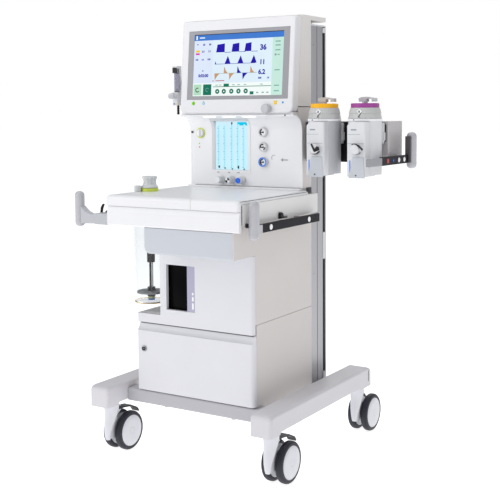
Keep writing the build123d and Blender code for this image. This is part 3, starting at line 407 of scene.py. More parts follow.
INK = dict(grain=0.02, grain_scale=1400.0, seam=0.0, edge=0.0)
POWDER = dict(grain=0.12, grain_scale=900.0)
M = {
    "leg": surface("leg_powder_coat", (213, 211, 215), 0.42, **POWDER),
    "beam": surface("beam_powder_coat", (184, 183, 188), 0.45, **POWDER),
    "front": surface("front_plastic", (222, 222, 226), 0.36),
    "case": surface("case_powder_coat", (212, 212, 214), 0.45, **POWDER),
    "side": surface("side_powder_coat", (214, 209, 206), 0.5, **POWDER),
    "cover": surface("cover_plastic", (234, 234, 236), 0.32, coat=0.1),
    "monitor": surface("monitor_plastic", (225, 225, 228), 0.34, coat=0.08),
    # partly painted light: the panel's own white is made brighter still, to stand in for the lamps' light
    # falling on it
    "panel": surface("panel_plastic_painted_lamplight", (243, 243, 245), 0.36),
    "shell": surface("shell_plastic", (222, 219, 216), 0.42),
    "pan": surface("pan_plastic", (231, 230, 229), 0.42),
    "housing": surface("housing_plastic", (198, 202, 209), 0.38),
    "bezel": surface("bezel_plastic", (150, 150, 155), 0.4, cloud=0.05),
    "handle": surface("handle_plastic", (186, 186, 191), 0.26, coat=0.3),
    "arm": surface("arm_cast", (186, 188, 193), 0.36, **POWDER),
    "rail": surface("rail_paint", (17, 13, 24), 0.42, cloud=0.15, spec=0.15),
    "metal": surface("anodised_extrusion", (176, 176, 179), 0.4, metal=0.7, cloud=0.05, grain=0.08,
                     grain_scale=700.0, stretch=(1, 1, 0.02)),
    "barrel": surface("vaporizer_lacquer", (196, 197, 201), 0.42, metal=0.45, cloud=0.04, grain=0.06,
                      grain_scale=1100.0),
    "manifold": surface("manifold_lacquer", (196, 192, 193), 0.38, metal=0.35, grain=0.08, grain_scale=900.0,
                        stretch=(1, 1, 0.05)),
    "plate": surface("vaporizer_plate", (222, 223, 226), 0.3),
    "cone": surface("dial_plastic", (196, 197, 196), 0.36, cloud=0.05),
    "yellow": surface("yellow_plastic", (255, 184, 0), 0.3, cloud=0.06, seam=0.2),
    "purple": surface("purple_plastic", (158, 62, 148), 0.3, cloud=0.06, seam=0.2),
    "lever": surface("lever_plastic", (190, 190, 192), 0.34),
    "caster": surface("caster_plastic", (222, 223, 228), 0.3, coat=0.1),
    "tyre": surface("tyre_polyurethane", (26, 26, 42), 0.5, cloud=0.25, grain=0.2, grain_scale=700.0),
    "black": surface("black_plastic", (18, 18, 21), 0.38, cloud=0.3, grain=0.1, grain_scale=1500.0,
                     spec=0.35),
    "gloss_black": surface("black_gloss", (3, 3, 4), 0.3, cloud=0.3, grain=0.02, grain_scale=1400.0,
                           spec=0.06),
    "steel": surface("plated_steel", (196, 197, 202), 0.22, metal=1.0, cloud=0.06, grain=0.08,
                     grain_scale=900.0, stretch=(1, 12, 1)),
    "brass": surface("turned_brass", (201, 168, 92), 0.26, metal=1.0, cloud=0.1, grain=0.1,
                     grain_scale=1200.0, stretch=(1, 9, 1)),
    "dark": surface("dark_grey_plastic", (80, 76, 78), 0.42, cloud=0.08),
    # painted shadow: a mid grey for strips laid where gaps between parts fall in shade
    "shadow": surface("painted_shadow_grey", (104, 104, 108), 0.6, cloud=0.08),
    "grey": surface("grey_plastic", (150, 151, 156), 0.34, cloud=0.06),
    "pale": surface("pale_plastic", (214, 215, 218), 0.34),
    "white": surface("white_enamel", (246, 246, 248), 0.3),
    "ink": surface("black_ink", (26, 26, 30), 0.5, cloud=0.2, **INK),
    "grey_ink": surface("grey_ink", (150, 153, 160), 0.5, cloud=0.08, **INK),
    "blue": surface("blue_plastic", (0, 104, 240), 0.28, cloud=0.08, coat=0.2),
    "blue_ring": surface("blue_ring_plastic", (80, 138, 234), 0.34, cloud=0.07),
    "lilac": surface("lilac_film", (176, 174, 196), 0.34, cloud=0.08),
    "red": surface("red_ink", (190, 28, 36), 0.4, cloud=0.1),
    "green_ring": surface("green_ring_plastic", (214, 228, 92), 0.34, cloud=0.07),
    "tray": surface("tray_plastic", (172, 173, 176), 0.4),
    "milky": surface("milky_plastic", (214, 216, 217), 0.2, cloud=0.06, coat=0.35),
    "clear": clear_surface("clear_plastic", (244, 246, 247), 0.012),
    "amber": clear_surface("amber_plastic", (235, 205, 150), 0.08),
}

# Lit surfaces: colour, strength and, where it isn't the usual one, the colour's drift.
LIT = {
    "screen_pale": ((222, 238, 250), 0.93),
    "screen_lilac": ((220, 232, 250), 0.93),
    "screen_mint": ((198, 232, 220), 0.93),
    "screen_white": ((240, 248, 246), 0.95),
    "screen_blue": ((62, 120, 205), 0.95, 0.18),
    "screen_navy": ((28, 6, 165), 0.95, 0.12),
    "screen_brown": ((214, 162, 118), 0.8, 0.1),
    "screen_teal": ((12, 116, 92), 0.95, 0.12),
    "screen_soft": ((128, 176, 168), 0.9),
    "screen_green": ((190, 236, 205), 0.8),
    "screen_yellow": ((255, 214, 20), 0.85),
    "screen_pink": ((240, 60, 190), 0.8),
    "flow_glow": ((206, 236, 249), 0.97),
    "flow_column": ((184, 238, 252), 0.97),
    "flow_tag": ((0, 206, 255), 0.85),
    "flow_tick": ((92, 176, 200), 0.9),
    "lamp_green": ((126, 214, 20), 0.8),
    "lamp_sky": ((110, 200, 235), 0.75),
    "lamp_amber": ((255, 214, 70), 0.75),
    "lamp_red": ((230, 60, 60), 0.7),
}
M.update({name: light_surface(name, *values) for name, values in LIT.items()})
M["lamp"] = light_surface("lamp_lens", (255, 255, 255), 1.6, dots=300.0)


# ---- finishes of the CAD nodes ----
def dress(node, base, rules=()):
    """Gives a CAD node its finish; each rule is a test of a face's middle, in millimetres, and a finish."""
    data = frame["nodes"][node].data
    data.materials.clear()
    data.materials.append(M[base])
    for _, other in rules:
        data.materials.append(M[other])
    for polygon in data.polygons:
        polygon.material_index = 0
        if not rules:
            continue
        point = (polygon.center - HOME) / MM
        for index, (test, _) in enumerate(rules, 1):
            if test(point):
                polygon.material_index = index


VAP = {colour: middle_of(f"vaporizer_dial_{colour}") for colour in ("yellow", "purple")}
DIAL_TOP = edges_of("vaporizer_dial_yellow")[1].z
RING_FOOT = DIAL_TOP - 13.5
PLATE_Y = 194.0
CANISTER = middle_of("absorber_canister")
PANEL_Y = 300.0
AUX_X = -237.5

CASTERS = [f"{end}_{side}" for end in ("front", "rear") for side in ("left", "right")]

PLAIN_FINISHES = {
    "base_legs": "leg", "base_crossbeams": "beam", "side_panels": "side",
    "drawer_front": "front", "drawer_box": "case", "drawer_lock": "steel", "ventilator_cabinet": "case",
    "front_fascia": "front", "back_panels": "side", "breathing_block": "pale",
    "breathing_housing": "housing", "absorber_canister": "clear", "table_frame": "pan",
    "table_top": "cover", "writing_tray": "cover", "handle_grips": "handle", "apl_knob": "milky",
    "bag_selector": "milky", "columns": "metal", "column_fittings": "pale", "gas_panel": "panel",
    "pressure_gauges": "pale", "main_switch": "white", "monitor_front": "monitor", "monitor_back": "shell",
    "screen": "bezel", "monitor_knob": "handle", "aux_flow_knob": "pale",
}


def finish_nodes():
    """Every CAD node's finish, with its differently coloured parts."""
    for node, finish in PLAIN_FINISHES.items():
        dress(node, finish)
    # the top of the shelf over the drawer, painted whiter than its case as painted light, and the arm at the
    # end of the upper rail
    dress("lower_cabinet", "case", [(lambda p: p.z > 455, "white")])
    dress("handle_arms", "arm", [(lambda p: p.x > 500, "dark")])
    # the raised ring under the valve knob
    valve = middle_of("apl_knob")
    dress("breathing_cover", "cover", [
        (lambda p: p.z > 837.5 and (p.xy - valve.xy).length < 29, "green_ring"),
    ])
    # ventilator and power supply; gas inlets and mains inlet
    dress("cabinet_modules", "gloss_black", [(lambda p: p.x > 70, "case")])
    dress("rear_connectors", "brass", [(lambda p: p.x > 40, "black")])
    # pale rod, perforated tray, blue foot and the green ring over it
    dress("canister_insert", "black", [
        (lambda p: 533 < p.z < 611 and p.x > CANISTER.x + 1, "milky"),
        (lambda p: 513.5 < p.z < 522.5 and (p.xy - CANISTER.xy).length > 13, "tray"),
        (lambda p: p.z < 497, "blue"),
        (lambda p: 497 <= p.z < 503.5, "green_ring"),
    ])
    # posts behind the rails are steel, and the bar at the upper rail's end is grey
    dress("side_rails", "rail", [
        (lambda p: abs(p.x) < 255 or 500 < p.x < 520, "steel"),
        (lambda p: p.x > 515 and p.y < 211.9, "grey"),
    ])
    # lit lens and tubes
    dress("flow_window", "pale", [
        (lambda p: 302.5 < p.y < 307.5 or abs(p.y - 302) < 0.2, "flow_glow"),
        (lambda p: p.y < 301.9, "flow_column"),
    ])
    # clear tube and black barb
    dress("aux_flowmeter", "pale", [
        (lambda p: 1152 < p.z < 1228 and p.y < 262.1 and abs(p.x - AUX_X) < 5.6, "clear"),
        (lambda p: p.z < 1107, "black"),
    ])
    # docking blocks, and the seat plate painted black as painted shade of the gap between the vaporizers
    dress("vaporizer_manifold", "manifold", [
        (lambda p: p.y < 318.5 and p.z > 984, "plate"),
        (lambda p: 318.5 <= p.y < 321.9, "black"),
    ])
    # the right body and both face plates are paler, with a white collar and a steel neck
    dress("vaporizer_bodies", "barrel", [
        (lambda p: p.x > (VAP["yellow"].x + VAP["purple"].x) / 2, "plate"),
        (lambda p: p.y < 221, "plate"),
        (lambda p: 1054.5 < p.z <= 1062.2, "white"),
        (lambda p: p.z > 1062.2, "steel"),
    ])
    for colour in VAP:
        dress(f"vaporizer_dial_{colour}", "cone", [(lambda p: p.z > RING_FOOT + 0.2, colour)])
        dress(f"vaporizer_lever_{colour}", "lever")
    for caster in CASTERS:
        for part, finish in (("fork", "caster"), ("tyres", "tyre"), ("discs", "caster")):
            dress(f"caster_{part}_{caster}", finish)
    for side in ("left", "right"):
        dress(f"brake_pedal_front_{side}", "black")
    for gas in ("oxygen", "air", "nitrous"):
        dress(f"flow_knob_{gas}", "lever")


# ---- screen ----
KNOB_RISE = 13.0


def monitor_plane():
    """Plane on the monitor's face: u from its middle, v up from its foot, w out of it."""
    joint = next(j for j in frame["joints"] if j["name"] == "monitor_knob_turn")
    up = Vector(joint["axis"]).normalized().cross(RIGHTWARD)
    foot = Vector(joint["pos_m"]) - up * KNOB_RISE * MM
    low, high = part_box("monitor_front")
    foot.x = (low.x + high.x) / 2
    return view_plane(foot, RIGHTWARD, up)


SCREEN_W = 338.0
SCREEN_H = 201.0
SCREEN_MIDDLE = (4.0, 157.0)
SCREEN_FLOOR = -1.5


def spot(s, t):
    """Place on the screen, s from its left and t from its top as shares of its size."""
    return (SCREEN_MIDDLE[0] + (s - 0.5) * SCREEN_W, SCREEN_MIDDLE[1] + (0.5 - t) * SCREEN_H)


def patch(s0, s1, t0, t1):
    low, high = spot(s0, t1), spot(s1, t0)
    return rectangle(low[0], high[0], low[1], high[1])


def shape(points):
    return [spot(s, t) for s, t in points]


def patches(lit, layer, *areas):
    """Upright rectangles on the screen, each as its four sides and its paint."""
    for *sides, paint in areas:
        lit.slab(patch(*sides), *layer, paint)


def screen_display():
    """The lit screen: its fields of colour, then what stands on them."""
    lit = Piece("screen_display", monitor_plane())
    floor = SCREEN_FLOOR
    lit.slab(patch(0, 1, 0, 1), floor, floor + 0.2, "screen_pale")
    layer = (floor + 0.2, floor + 0.35)
    # the ink band along the top edge is painted shadow of the bezel on the screen
    patches(lit, layer, (0.0, 1.0, 0.012, 0.1, "screen_blue"), (0.0, 0.22, 0.1, 0.79, "screen_lilac"),
            (0.88, 1.0, 0.1, 1.0, "screen_mint"), (0.0, 0.88, 0.79, 1.0, "screen_white"),
            (0.0, 1.0, 0.0, 0.012, "ink"))
    layer = (floor + 0.35, floor + 0.5)
    patches(lit, layer, (0.02, 0.035, 0.02, 0.085, "screen_white"),
            (0.06, 0.12, 0.045, 0.065, "screen_pale"))
    screen_waves(lit, layer)
    screen_controls(lit, layer)
    screen_figures(lit, layer)
    return lit.done()


def screen_waves(lit, layer):
    """Three rows of curves: square blocks, peaks, and fins above and below their line."""
    navy, brown = "screen_navy", "screen_brown"
    for left, right in ((0.255, 0.352), (0.43, 0.515), (0.575, 0.65)):
        lit.slab(shape([(left, 0.3), (right, 0.3), (right, 0.16), (left + 0.012, 0.175)]), *layer, navy)
        lit.slab(patch(right, right + 0.07, 0.3, 0.308), *layer, navy)
    for peak in (0.39, 0.534, 0.68):
        foot = [(peak - 0.033, 0.485), (peak + 0.033, 0.485), (peak + 0.012, 0.4), (peak, 0.362)]
        lit.slab(shape(foot + [(peak - 0.012, 0.41)]), *layer, navy)
    lit.slab(patch(0.245, 0.7, 0.485, 0.492), *layer, navy)
    lit.slab(shape([(0.245, 0.485), (0.262, 0.485), (0.25, 0.44)]), *layer, navy)
    line = 0.64
    for left, fill in ((0.35, brown), (0.5, navy), (0.645, brown)):
        fin = [(left, line), (left + 0.05, line), (left + 0.025, line - 0.04), (left + 0.004, line - 0.11)]
        lit.slab(shape(fin), *layer, fill)
    for left, fill in ((0.245, brown), (0.41, brown), (0.56, navy)):
        fin = [(left, line), (left + 0.006, line + 0.105), (left + 0.03, line + 0.045), (left + 0.06, line)]
        lit.slab(shape(fin), *layer, fill)
    lit.slab(patch(0.245, 0.72, line - 0.003, line + 0.003), layer[0], layer[1] - 0.05, "screen_soft")
    for t in (0.33, 0.51, 0.78):
        lit.slab(patch(0.235, 0.87, t, t + 0.004), layer[0], layer[1] - 0.05, "screen_lilac")
    patches(lit, layer, (0.225, 0.24, 0.75, 0.765, "red"), (0.26, 0.36, 0.75, 0.762, "red"))


def screen_controls(lit, layer):
    """Buttons, tabs and dials along the bottom and down the right."""
    teal, soft = "screen_teal", "screen_soft"
    patches(lit, layer, (0.008, 0.1, 0.81, 0.985, "screen_green"), (0.12, 0.215, 0.81, 0.985, teal),
            (0.235, 0.88, 0.848, 0.858, teal), (0.355, 0.415, 0.805, 0.848, teal),
            (0.65, 0.692, 0.935, 0.985, teal), (0.935, 0.96, 0.362, 0.378, soft),
            (0.02, 0.065, 0.255, 0.288, "screen_yellow"), (0.02, 0.065, 0.3, 0.33, "screen_pink"))
    for s in (0.26, 0.3, 0.45, 0.51, 0.58, 0.76):
        lit.slab(patch(s, s + 0.03, 0.82, 0.832), *layer, soft)
    for s in (0.285, 0.36, 0.445, 0.525, 0.605):
        lit.slab(disc(*spot(s, 0.928), 8.0), *layer, teal)
        lit.slab(disc(*spot(s, 0.928), 2.4, 16), layer[1], layer[1] + 0.1, "screen_white")
    for s in (0.72, 0.78, 0.83):
        lit.slab(patch(s, s + 0.025, 0.945, 0.965), *layer, soft)
    lit.slab(arc_band(*spot(0.054, 0.9), 5.0, 8.0, 60, 330), layer[1], layer[1] + 0.1, "ink")
    lit.slab(arc_band(*spot(0.168, 0.9), 5.0, 6.5, 20, 300), layer[1], layer[1] + 0.1, soft)
    for t in (0.155, 0.215, 0.29, 0.6, 0.84, 0.925):
        lit.slab(patch(0.91, 0.965, t, t + 0.018), *layer, soft)
    lit.slab(disc(*spot(0.915, 0.37), 3.6), *layer, "grey_ink")


def screen_figures(lit, layer):
    """Generic numbers."""
    low, high = layer
    for words, s, t, tall in (("36", 0.745, 0.285, 17), ("11", 0.745, 0.51, 15), ("6.2", 0.735, 0.665, 15),
                              ("500", 0.735, 0.74, 6), ("14", 0.83, 0.74, 6), ("0:02:00", 0.06, 0.69, 9.5),
                              ("28", 0.1, 0.18, 6), ("50", 0.17, 0.18, 6), ("2.5", 0.09, 0.29, 6),
                              ("2.1", 0.165, 0.29, 6), ("0.8", 0.02, 0.42, 6), ("4.8", 0.09, 0.42, 5),
                              ("100", 0.155, 0.42, 6), ("40", 0.03, 0.17, 4), ("20", 0.1, 0.6, 4)):
        lit.digits(words, *spot(s, t), tall, low, high, "screen_navy")


def monitor_marks():
    """Small lit marks under the screen."""
    marks = Piece("monitor_marks", monitor_plane())
    row = 33.0
    marks.slab(disc(-159, row, 6.0), 0, 0.6, "lamp_green")
    marks.slab(arc_band(-119, row, 3.2, 5.0, 130, 410), 0, 0.5, "lamp_sky")
    marks.slab(rectangle(-120, -118, row, row + 7), 0, 0.6, "lamp_sky")
    marks.slab(rounded(145, 157, row - 6, row + 6, 1.5), 0, 0.5, "lamp_amber")
    marks.slab(disc(151, row, 2.6), 0.5, 0.7, "brass")
    marks.slab(disc(178, row, 3.6), 0, 0.5, "lamp_sky")
    marks.slab(disc(178, row, 1.8), 0.5, 0.7, "blue")
    return marks.done()


# ---- gas panel ----
COVE_R = 46.0
PANEL_BEND = 1025.0
BENCH = Matrix.Translation(HOME) @ Matrix.Scale(MM, 4)


def on_panel(x, z_along, lift):
    """Place on the gas panel, z_along being the height up it, measured along its surface."""
    beyond = z_along - PANEL_BEND
    if beyond <= 0:
        return (x, PANEL_Y - lift, z_along)
    turn = beyond / COVE_R
    middle = PANEL_Y - COVE_R
    reach = COVE_R - lift
    return (x, middle + reach * cos(turn), PANEL_BEND + reach * sin(turn))


def panel_strip(piece, x0, x1, low, high, lift, material, round_ends=False):
    """A thin strip that follows the panel's curve; round_ends makes an oval of it."""
    steps = 12
    rings = []
    middle, half = (x0 + x1) / 2, (x1 - x0) / 2
    for step in range(steps + 1):
        share = -1 + 2 * step / steps
        width = half * sqrt(1 - min(0.97, abs(share)) ** 2) if round_ends else half
        along = low + (high - low) * step / steps
        rings.append([on_panel(middle - width, along, 0), on_panel(middle + width, along, 0),
                      on_panel(middle + width, along, lift), on_panel(middle - width, along, lift)])
    piece.solid(rings, material, smooth=round_ends)


def panel_details():
    """Flow window rim, with painted recess shade at left and top; lamps, small marks, and the filler under
    the panel's lip.
    """
    rim = Piece("flow_window_rim", BENCH)
    # painted shade: the left and top strips take the darker pale finish as the recess's shade; the right and
    # bottom strips match the panel
    panel_strip(rim, -124, -112.2, 894, 1057, 1.2, "pale")
    panel_strip(rim, 16.2, 25, 894, 1057, 1.0, "panel")
    panel_strip(rim, -124, 25, 1057.5, 1069, 1.2, "pale")
    panel_strip(rim, -124, 25, 884, 893.8, 1.0, "panel")
    rim.done()
    lamps = Piece("panel_lamps", BENCH)
    for x in (-112, -36, 40):
        panel_strip(lamps, x - 26, x + 26, 1078, 1090, 0.8, "lamp", round_ends=True)
    lamps.done()
    marks = Piece("panel_marks", front(PANEL_Y))
    for x in (-100, -58, -22):
        marks.slab(rounded(x - 5, x + 5, 884.8, 887.2, 1.0), 1.0, 1.3, "grey_ink")
    marks.slab(arc_band(113, 937, 8.0, 9.4, 60, 220), 0, 0.4, "grey_ink")
    marks.slab([(138, 931), (146, 925), (146, 929.5), (164, 929.5), (164, 932.5), (146, 932.5), (146, 937)],
               0, 0.4, "grey_ink")
    marks.slab(disc(-175, 980, 1.8), 0, 1.2, "lamp_green")
    marks.slab(disc(-175, 968, 1.8), 0, 1.2, "lamp_red")
    marks.band(-169.5, 1015, 14.0, 18.0, 0, 1.0, "green_ring")
    marks.lathe(-203, 1018, [(3.4, 0), (3.4, 4), (2.4, 5), (1.0, 5.2)], "black", 24)
    marks.done()
    filler = Piece("panel_lip_filler", top(1075))
    filler.slab(rectangle(-208, 213, 247, 300), -1, 7.5, "monitor")
    filler.done()
    dot = Piece("panel_lip_plug", front(244))
    dot.lathe(186, 1073, [(2.6, 0), (2.4, 0.8), (1.0, 1.1)], "black", 24)
    dot.done()


TUBES = (-94.5, -71.5, -43.5, -19.5, 2.5)


def flow_scales():
    """Scales beside the five metering tubes, and the floats at rest in them."""
    scales = Piece("flow_scales", front(302))
    for tube in TUBES:
        scales.slab(rectangle(tube - 10, tube + 1, 897, 1038), 0, 0.2, "flow_column")
        for step in range(27):
            level = 902 + step * 5.1
            reach = 9.5 if step % 5 == 0 else 7.0
            scales.slab(rectangle(tube - reach, tube - 1.5, level, level + 2.2), 0.2, 0.4, "flow_tick")
    scales.slab(rectangle(-26, 13, 1040, 1051), 0, 0.5, "flow_tag")
    scales.slab(rounded(-50, -45, 1040, 1051, 1.5), 0, 0.5, "ink")
    scales.done()
    floats = Piece("flow_floats", front(296.4))
    for tube, low, high in zip(TUBES, (900, 898, 896, 899, 896), (908, 902, 900, 909, 900)):
        floats.slab(rounded(tube - 2.6, tube + 2.6, low, high, 1.2), -0.4, 0.6, "ink")
    floats.done()


def gauge_faces():
    """Dials of the three gauges, with generic arcs and pointers."""
    x = middle_of("pressure_gauges").x
    faces = Piece("gauge_faces", front(PANEL_Y - 8))
    for z, arcs in ((1019, ((100, 250),)), (971, ((70, 200), (290, 360))), (923, ((80, 260),))):
        faces.slab(disc(x, z, 11.3), 0, 0.4, "white")
        for start, end in arcs:
            faces.slab(arc_band(x, z, 6.6, 10.6, start, end), 0.4, 0.6, "ink")
        for angle in range(-40, 221, 26):
            turn = radians(angle)
            tick_u, tick_v = x + 5.4 * cos(turn), z + 5.4 * sin(turn)
            faces.slab(disc(tick_u, tick_v, 0.5, 8), 0.4, 0.6, "ink")
        pointer = [(x - 7.5, z + 0.6), (x - 6.5, z - 1.6), (x + 4, z - 3.2), (x + 5, z + 2)]
        faces.slab(pointer, 0.7, 1.1, "ink")
        faces.lathe(x, z, [(2.0, 0.6), (2.0, 1.6), (1.2, 1.9)], "black", 20)
    faces.band(x, 923, 10.9, 15.4, 1.9, 2.6, "blue_ring")
    faces.done()


def knob_caps():
    """Coloured caps on the flow knobs: plain white, black and white quarters, blue."""
    for gas, finish in (("oxygen", "white"), ("air", "white"), ("nitrous", "blue")):
        node = f"flow_knob_{gas}"
        x, z = middle_of(node).xz
        face = edges_of(node)[0].y
        cap = Piece(f"flow_cap_{gas}", front(face), node)
        cap.lathe(x, z, [(9.3, 0), (9.3, 1.0), (8.6, 1.8), (2.0, 2.1)], finish, 36)
        if gas == "air":
            for start in (0, 180):
                quarter = arc_band(x, z, 0.6, 8.5, start, start + 90, 8)
                cap.slab(quarter, 1.4, 2.3, "ink")
        cap.done()
        grip = Piece(f"flow_grip_{gas}", front(face + 27.5), node)
        profile = [(12.4, 0), (12.9, 2), (12.9, 8), (11.0, 10), (10.4, 15), (10.8, 25), (9.8, 26.7)]
        grip.lathe(x, z, profile, "plate", 64, flutes=16, depth=0.9)
        grip.done()


def pressure_valve():
    """Waisted, ribbed valve knob, in place of the plain turned one."""
    low, high = edges_of("apl_knob")
    x, y = middle_of("apl_knob").xy
    foot = edges_of("breathing_cover")[1].z
    rise = high.z - foot
    knob = Piece("valve_knob", top(foot), "apl_knob")
    knob.lathe(x, y, [(7, low.z - foot), (7, 0.6)], "milky", 32)
    knob.lathe(x, y, [(25.8, 0.6), (26.8, 2), (26.5, 6), (24.5, 8.6)], "milky", 64)
    body = [(24, 8.6), (22, 11), (20.6, 16), (20.4, 21), (21.6, 27), (24.4, 32.5), (25, rise - 2.5),
            (23.6, rise - 0.6), (21, rise), (20, rise - 1.5), (4, rise - 1.8)]
    knob.lathe(x, y, body, "milky", 72, flutes=12, depth=1.3)
    for turn in range(0, 360, 45):
        angle = radians(turn)
        knob.slab(disc(x + 14.5 * cos(angle), y + 14.5 * sin(angle), 0.9, 10), rise - 2,
                  rise - 1.3, "ink")
    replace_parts(knob.done(), "apl_knob")


# ---- rails and handles ----
RAIL_X = 265.5
RAIL_Z = 752.0
UPPER_RAIL_Z = 937.5


def screw_caps(name, plane, places):
    """Domed caps on the screws that hold a lower rail."""
    caps = Piece(name, plane)
    for u in places:
        caps.lathe(u, RAIL_Z, [(8.2, 0), (8.2, 1.0), (7.2, 1.8), (2.0, 2.1)], "white", 32)
    caps.done()


def rail_details():
    """Screw caps on the three rails, and the marks on the upper one."""
    screw_caps("rail_caps", right_side(RAIL_X), (20, 252))
    caps = Piece("upper_rail_caps", right_side(530.5))
    for y in (330, 370):
        caps.lathe(y, UPPER_RAIL_Z, [(7.2, 0), (7.2, 1.0), (6.2, 1.7), (2.0, 2.0)], "white", 32)
    caps.slab(rectangle(243, 256, UPPER_RAIL_Z - 6.5, UPPER_RAIL_Z + 6.5), 0, 0.4, "red")
    caps.lathe(290, UPPER_RAIL_Z, [(3.6, 0), (3.6, 0.5), (3.0, 0.8)], "blue", 20)
    caps.done()
    screw_caps("left_rail_caps", left_side(-RAIL_X), (-252, -300))


def hooks():
    """Black spring hooks: two on the left arm and one over the right rail."""
    left = Piece("left_hooks", front(-20))
    left.slab([(-342, 764), (-337, 764), (-334, 782), (-328, 795), (-331, 797), (-339, 786)], -8, 0,
              "black", 1.0)
    left.slab([(-320, 769), (-298, 769), (-293, 796), (-297, 798), (-307, 782), (-320, 774)], -10, 0,
              "black", 1.0)
    left.done()
    right = Piece("rail_hook", right_side(238.2))
    right.slab([(110, 766), (150, 766), (150, 770), (128, 772), (124, 783), (114, 785), (110, 780)], 0, 9,
               "black", 1.0)
    right.slab(rectangle(126, 152, 770.5, 774), 0, 8, "arm", 0.6)
    right.lathe(-72, 763, [(6.5, 0), (6.5, 10), (5.2, 12), (2, 12.4)], "black", 28)
    right.done()


def grip_marks():
    """Seam collars round the upright grips."""
    low, high = edges_of("handle_grips")
    radius = 15.5
    places = ((low.x + radius, -45.0, 780.5), (261.0, -66.5, 777.0),
              (high.x - radius, high.y - radius, 962.5))
    collars = Piece("grip_collars", top(0))
    for x, y, z in places:
        for step in (-38, 38):
            collars.lathe(x, y, [(radius, z + step - 1.2), (radius + 0.35, z + step - 0.6),
                                 (radius + 0.35, z + step + 0.6), (radius, z + step + 1.2)], "handle", 48)
    collars.done()


# ---- vaporizers ----
LOCK_Z = 973.0


def vaporizer_details(colour):
    """Face marks, lock knob, dial mark and ribs of one vaporizer."""
    axis = VAP[colour]
    x = axis.x
    body = Piece(f"vaporizer_face_{colour}", front(PLATE_Y))
    for z, width in ((1016, 40), (989, 52)):
        body.slab(rectangle(x - 24, x - 24 + width, z, z + 0.9), 0, 0.2, "grey_ink")
    filler = [(x - 21, 888), (x + 31, 888), (x + 27, 950), (x - 8, 950)]
    body.slab(filler, 0, 2.0, "housing", 0.8)
    body.slab(rectangle(x - 19, x - 15.5, 904, 940), 0, 0.3, "blue_ring")
    body.lathe(x + 3, 896, [(2.4, 2.0), (2.4, 2.5), (1.2, 2.8)], "ink", 18)
    body.slab(rounded(x - 14, x + 4, 1028, 1032, 1.0), 0, 0.2, "grey_ink")
    body.slab([(x + 0.5, 1057.5), (x + 6.5, 1057.5), (x + 3.5, 1061.5)], 17.1, 17.5, "ink")
    body.done()
    knob = Piece(f"vaporizer_lock_{colour}", front(180))
    knob.lathe(x + 5, LOCK_Z, [(14.6, -6), (14.6, 0), (13.6, 2.2), (9, 3.6), (3, 4.1)], "plate", 44)
    if colour == "yellow":
        knob.slab(arc_band(x + 5, LOCK_Z, 14.8, 17.2, 200, 330), -13.5, -5, "ink")
        knob.slab([(x - 1, 987), (x + 2, 988), (x + 13, 969), (x + 9, 966)], 2.5, 6.0, "black", 0.8)
        knob.slab([(x + 10, 963), (x + 26, 970), (x + 24, 979), (x + 17, 981), (x + 10, 972)], 1.0, 5.0,
                  "black", 0.8)
    else:
        knob.slab(arc_band(x + 5, LOCK_Z, 14.8, 16.4, 196, 320), -13.5, -5, "grey_ink")
        knob.slab(arc_band(x + 5, 975, 13.4, 15.6, 40, 125), 0, 3.5, "ink")
        knob.slab([(x + 14, 985), (x + 18, 987), (x + 33, 974), (x + 30, 971)], 0, 3.5, "ink", 0.6)
    knob.done()
    tilt = atan2(7.0, 32.0)         # the dial narrows by 7 over its height of 32
    up = Vector((0, sin(tilt), cos(tilt)))
    face = place(x + 3, axis.y - 46.0, 1083)
    mark = Piece(f"dial_mark_{colour}", view_plane(face, RIGHTWARD, up), f"dial_{colour}")
    mark.slab([(-8.5, 0), (0, -8.5), (8.5, 0), (0, 8.5)], -0.8, 0.9, "white")
    mark.digits("0", -2.9, -3.6, 7.2, 0.9, 1.2, "ink")
    mark.slab([(-2.6, -17.5), (2.6, -17.5), (0, -10.5)], -0.4, 0.9, "ink")
    mark.slab([(5.6, -3.6), (7.8, -1.6), (1.0, -12.5), (-0.5, -12.0)][::-1], -0.2, 0.9, "ink")
    mark.done()
    ribs = Piece(f"dial_ribs_{colour}", top(0), f"dial_{colour}")
    ribs.lathe(x, axis.y, [(48.0, 1078), (48.4, 1078.6), (43.9, 1094), (43, 1094.4)], "cone", 288,
               flutes=48, depth=0.9)
    ribs.done()


def dock_latches():
    """Latch plate and tab at each vaporizer's right, on the docking block, with a black strip as painted
    shadow behind.
    """
    for colour, axis in VAP.items():
        latch = Piece(f"dock_latch_{colour}", right_side(axis.x + 36))
        latch.slab(rounded(302, 318, 992, 1048, 2.0), -2, 3, "plate", 0.8)
        latch.slab(rounded(306, 317, 996, 1020, 1.0), 3, 6, "pale", 0.6)
        # painted shadow: the black strip along the latch's back edge stands in for the shadow beside it
        latch.slab(rounded(318, 321, 992, 1044, 1.0), -2, 6, "black", 0.6)
        latch.done()


# ---- columns and base ----
def column_details():
    """Black strips in the columns' side slots, and plugs over their screws."""
    for side, way, plane in (("right", 1, right_side(215.5)), ("left", -1, left_side(-215.5))):
        strip = Piece(f"slot_strip_{side}", plane)
        slot = sorted((way * 438.6, way * 455.4))
        for low, high in ((224, 599), (689, 1336)):
            strip.slab(rectangle(*slot, low, high), -6, -4, "black")
        for z in (1295, 1100, 560):
            strip.lathe(way * 378, z, [(2.6, 0), (2.6, 0.4), (1.6, 0.9)], "grey_ink", 18)
        strip.done()


LEG_FLANK = 329.5


def base_details():
    """Seams of the legs' end caps, and the wheels' caps."""
    for side, plane, u in (("left", left_side(-LEG_FLANK), (-551.5, -548)),
                           ("right", right_side(LEG_FLANK), (548, 551.5))):
        seam = Piece(f"leg_cap_seam_{side}", plane)
        seam.slab(rectangle(*u, 180, 216), 0, 0.25, "black")
        seam.done()
    for caster in CASTERS:
        wheel_caps(caster)


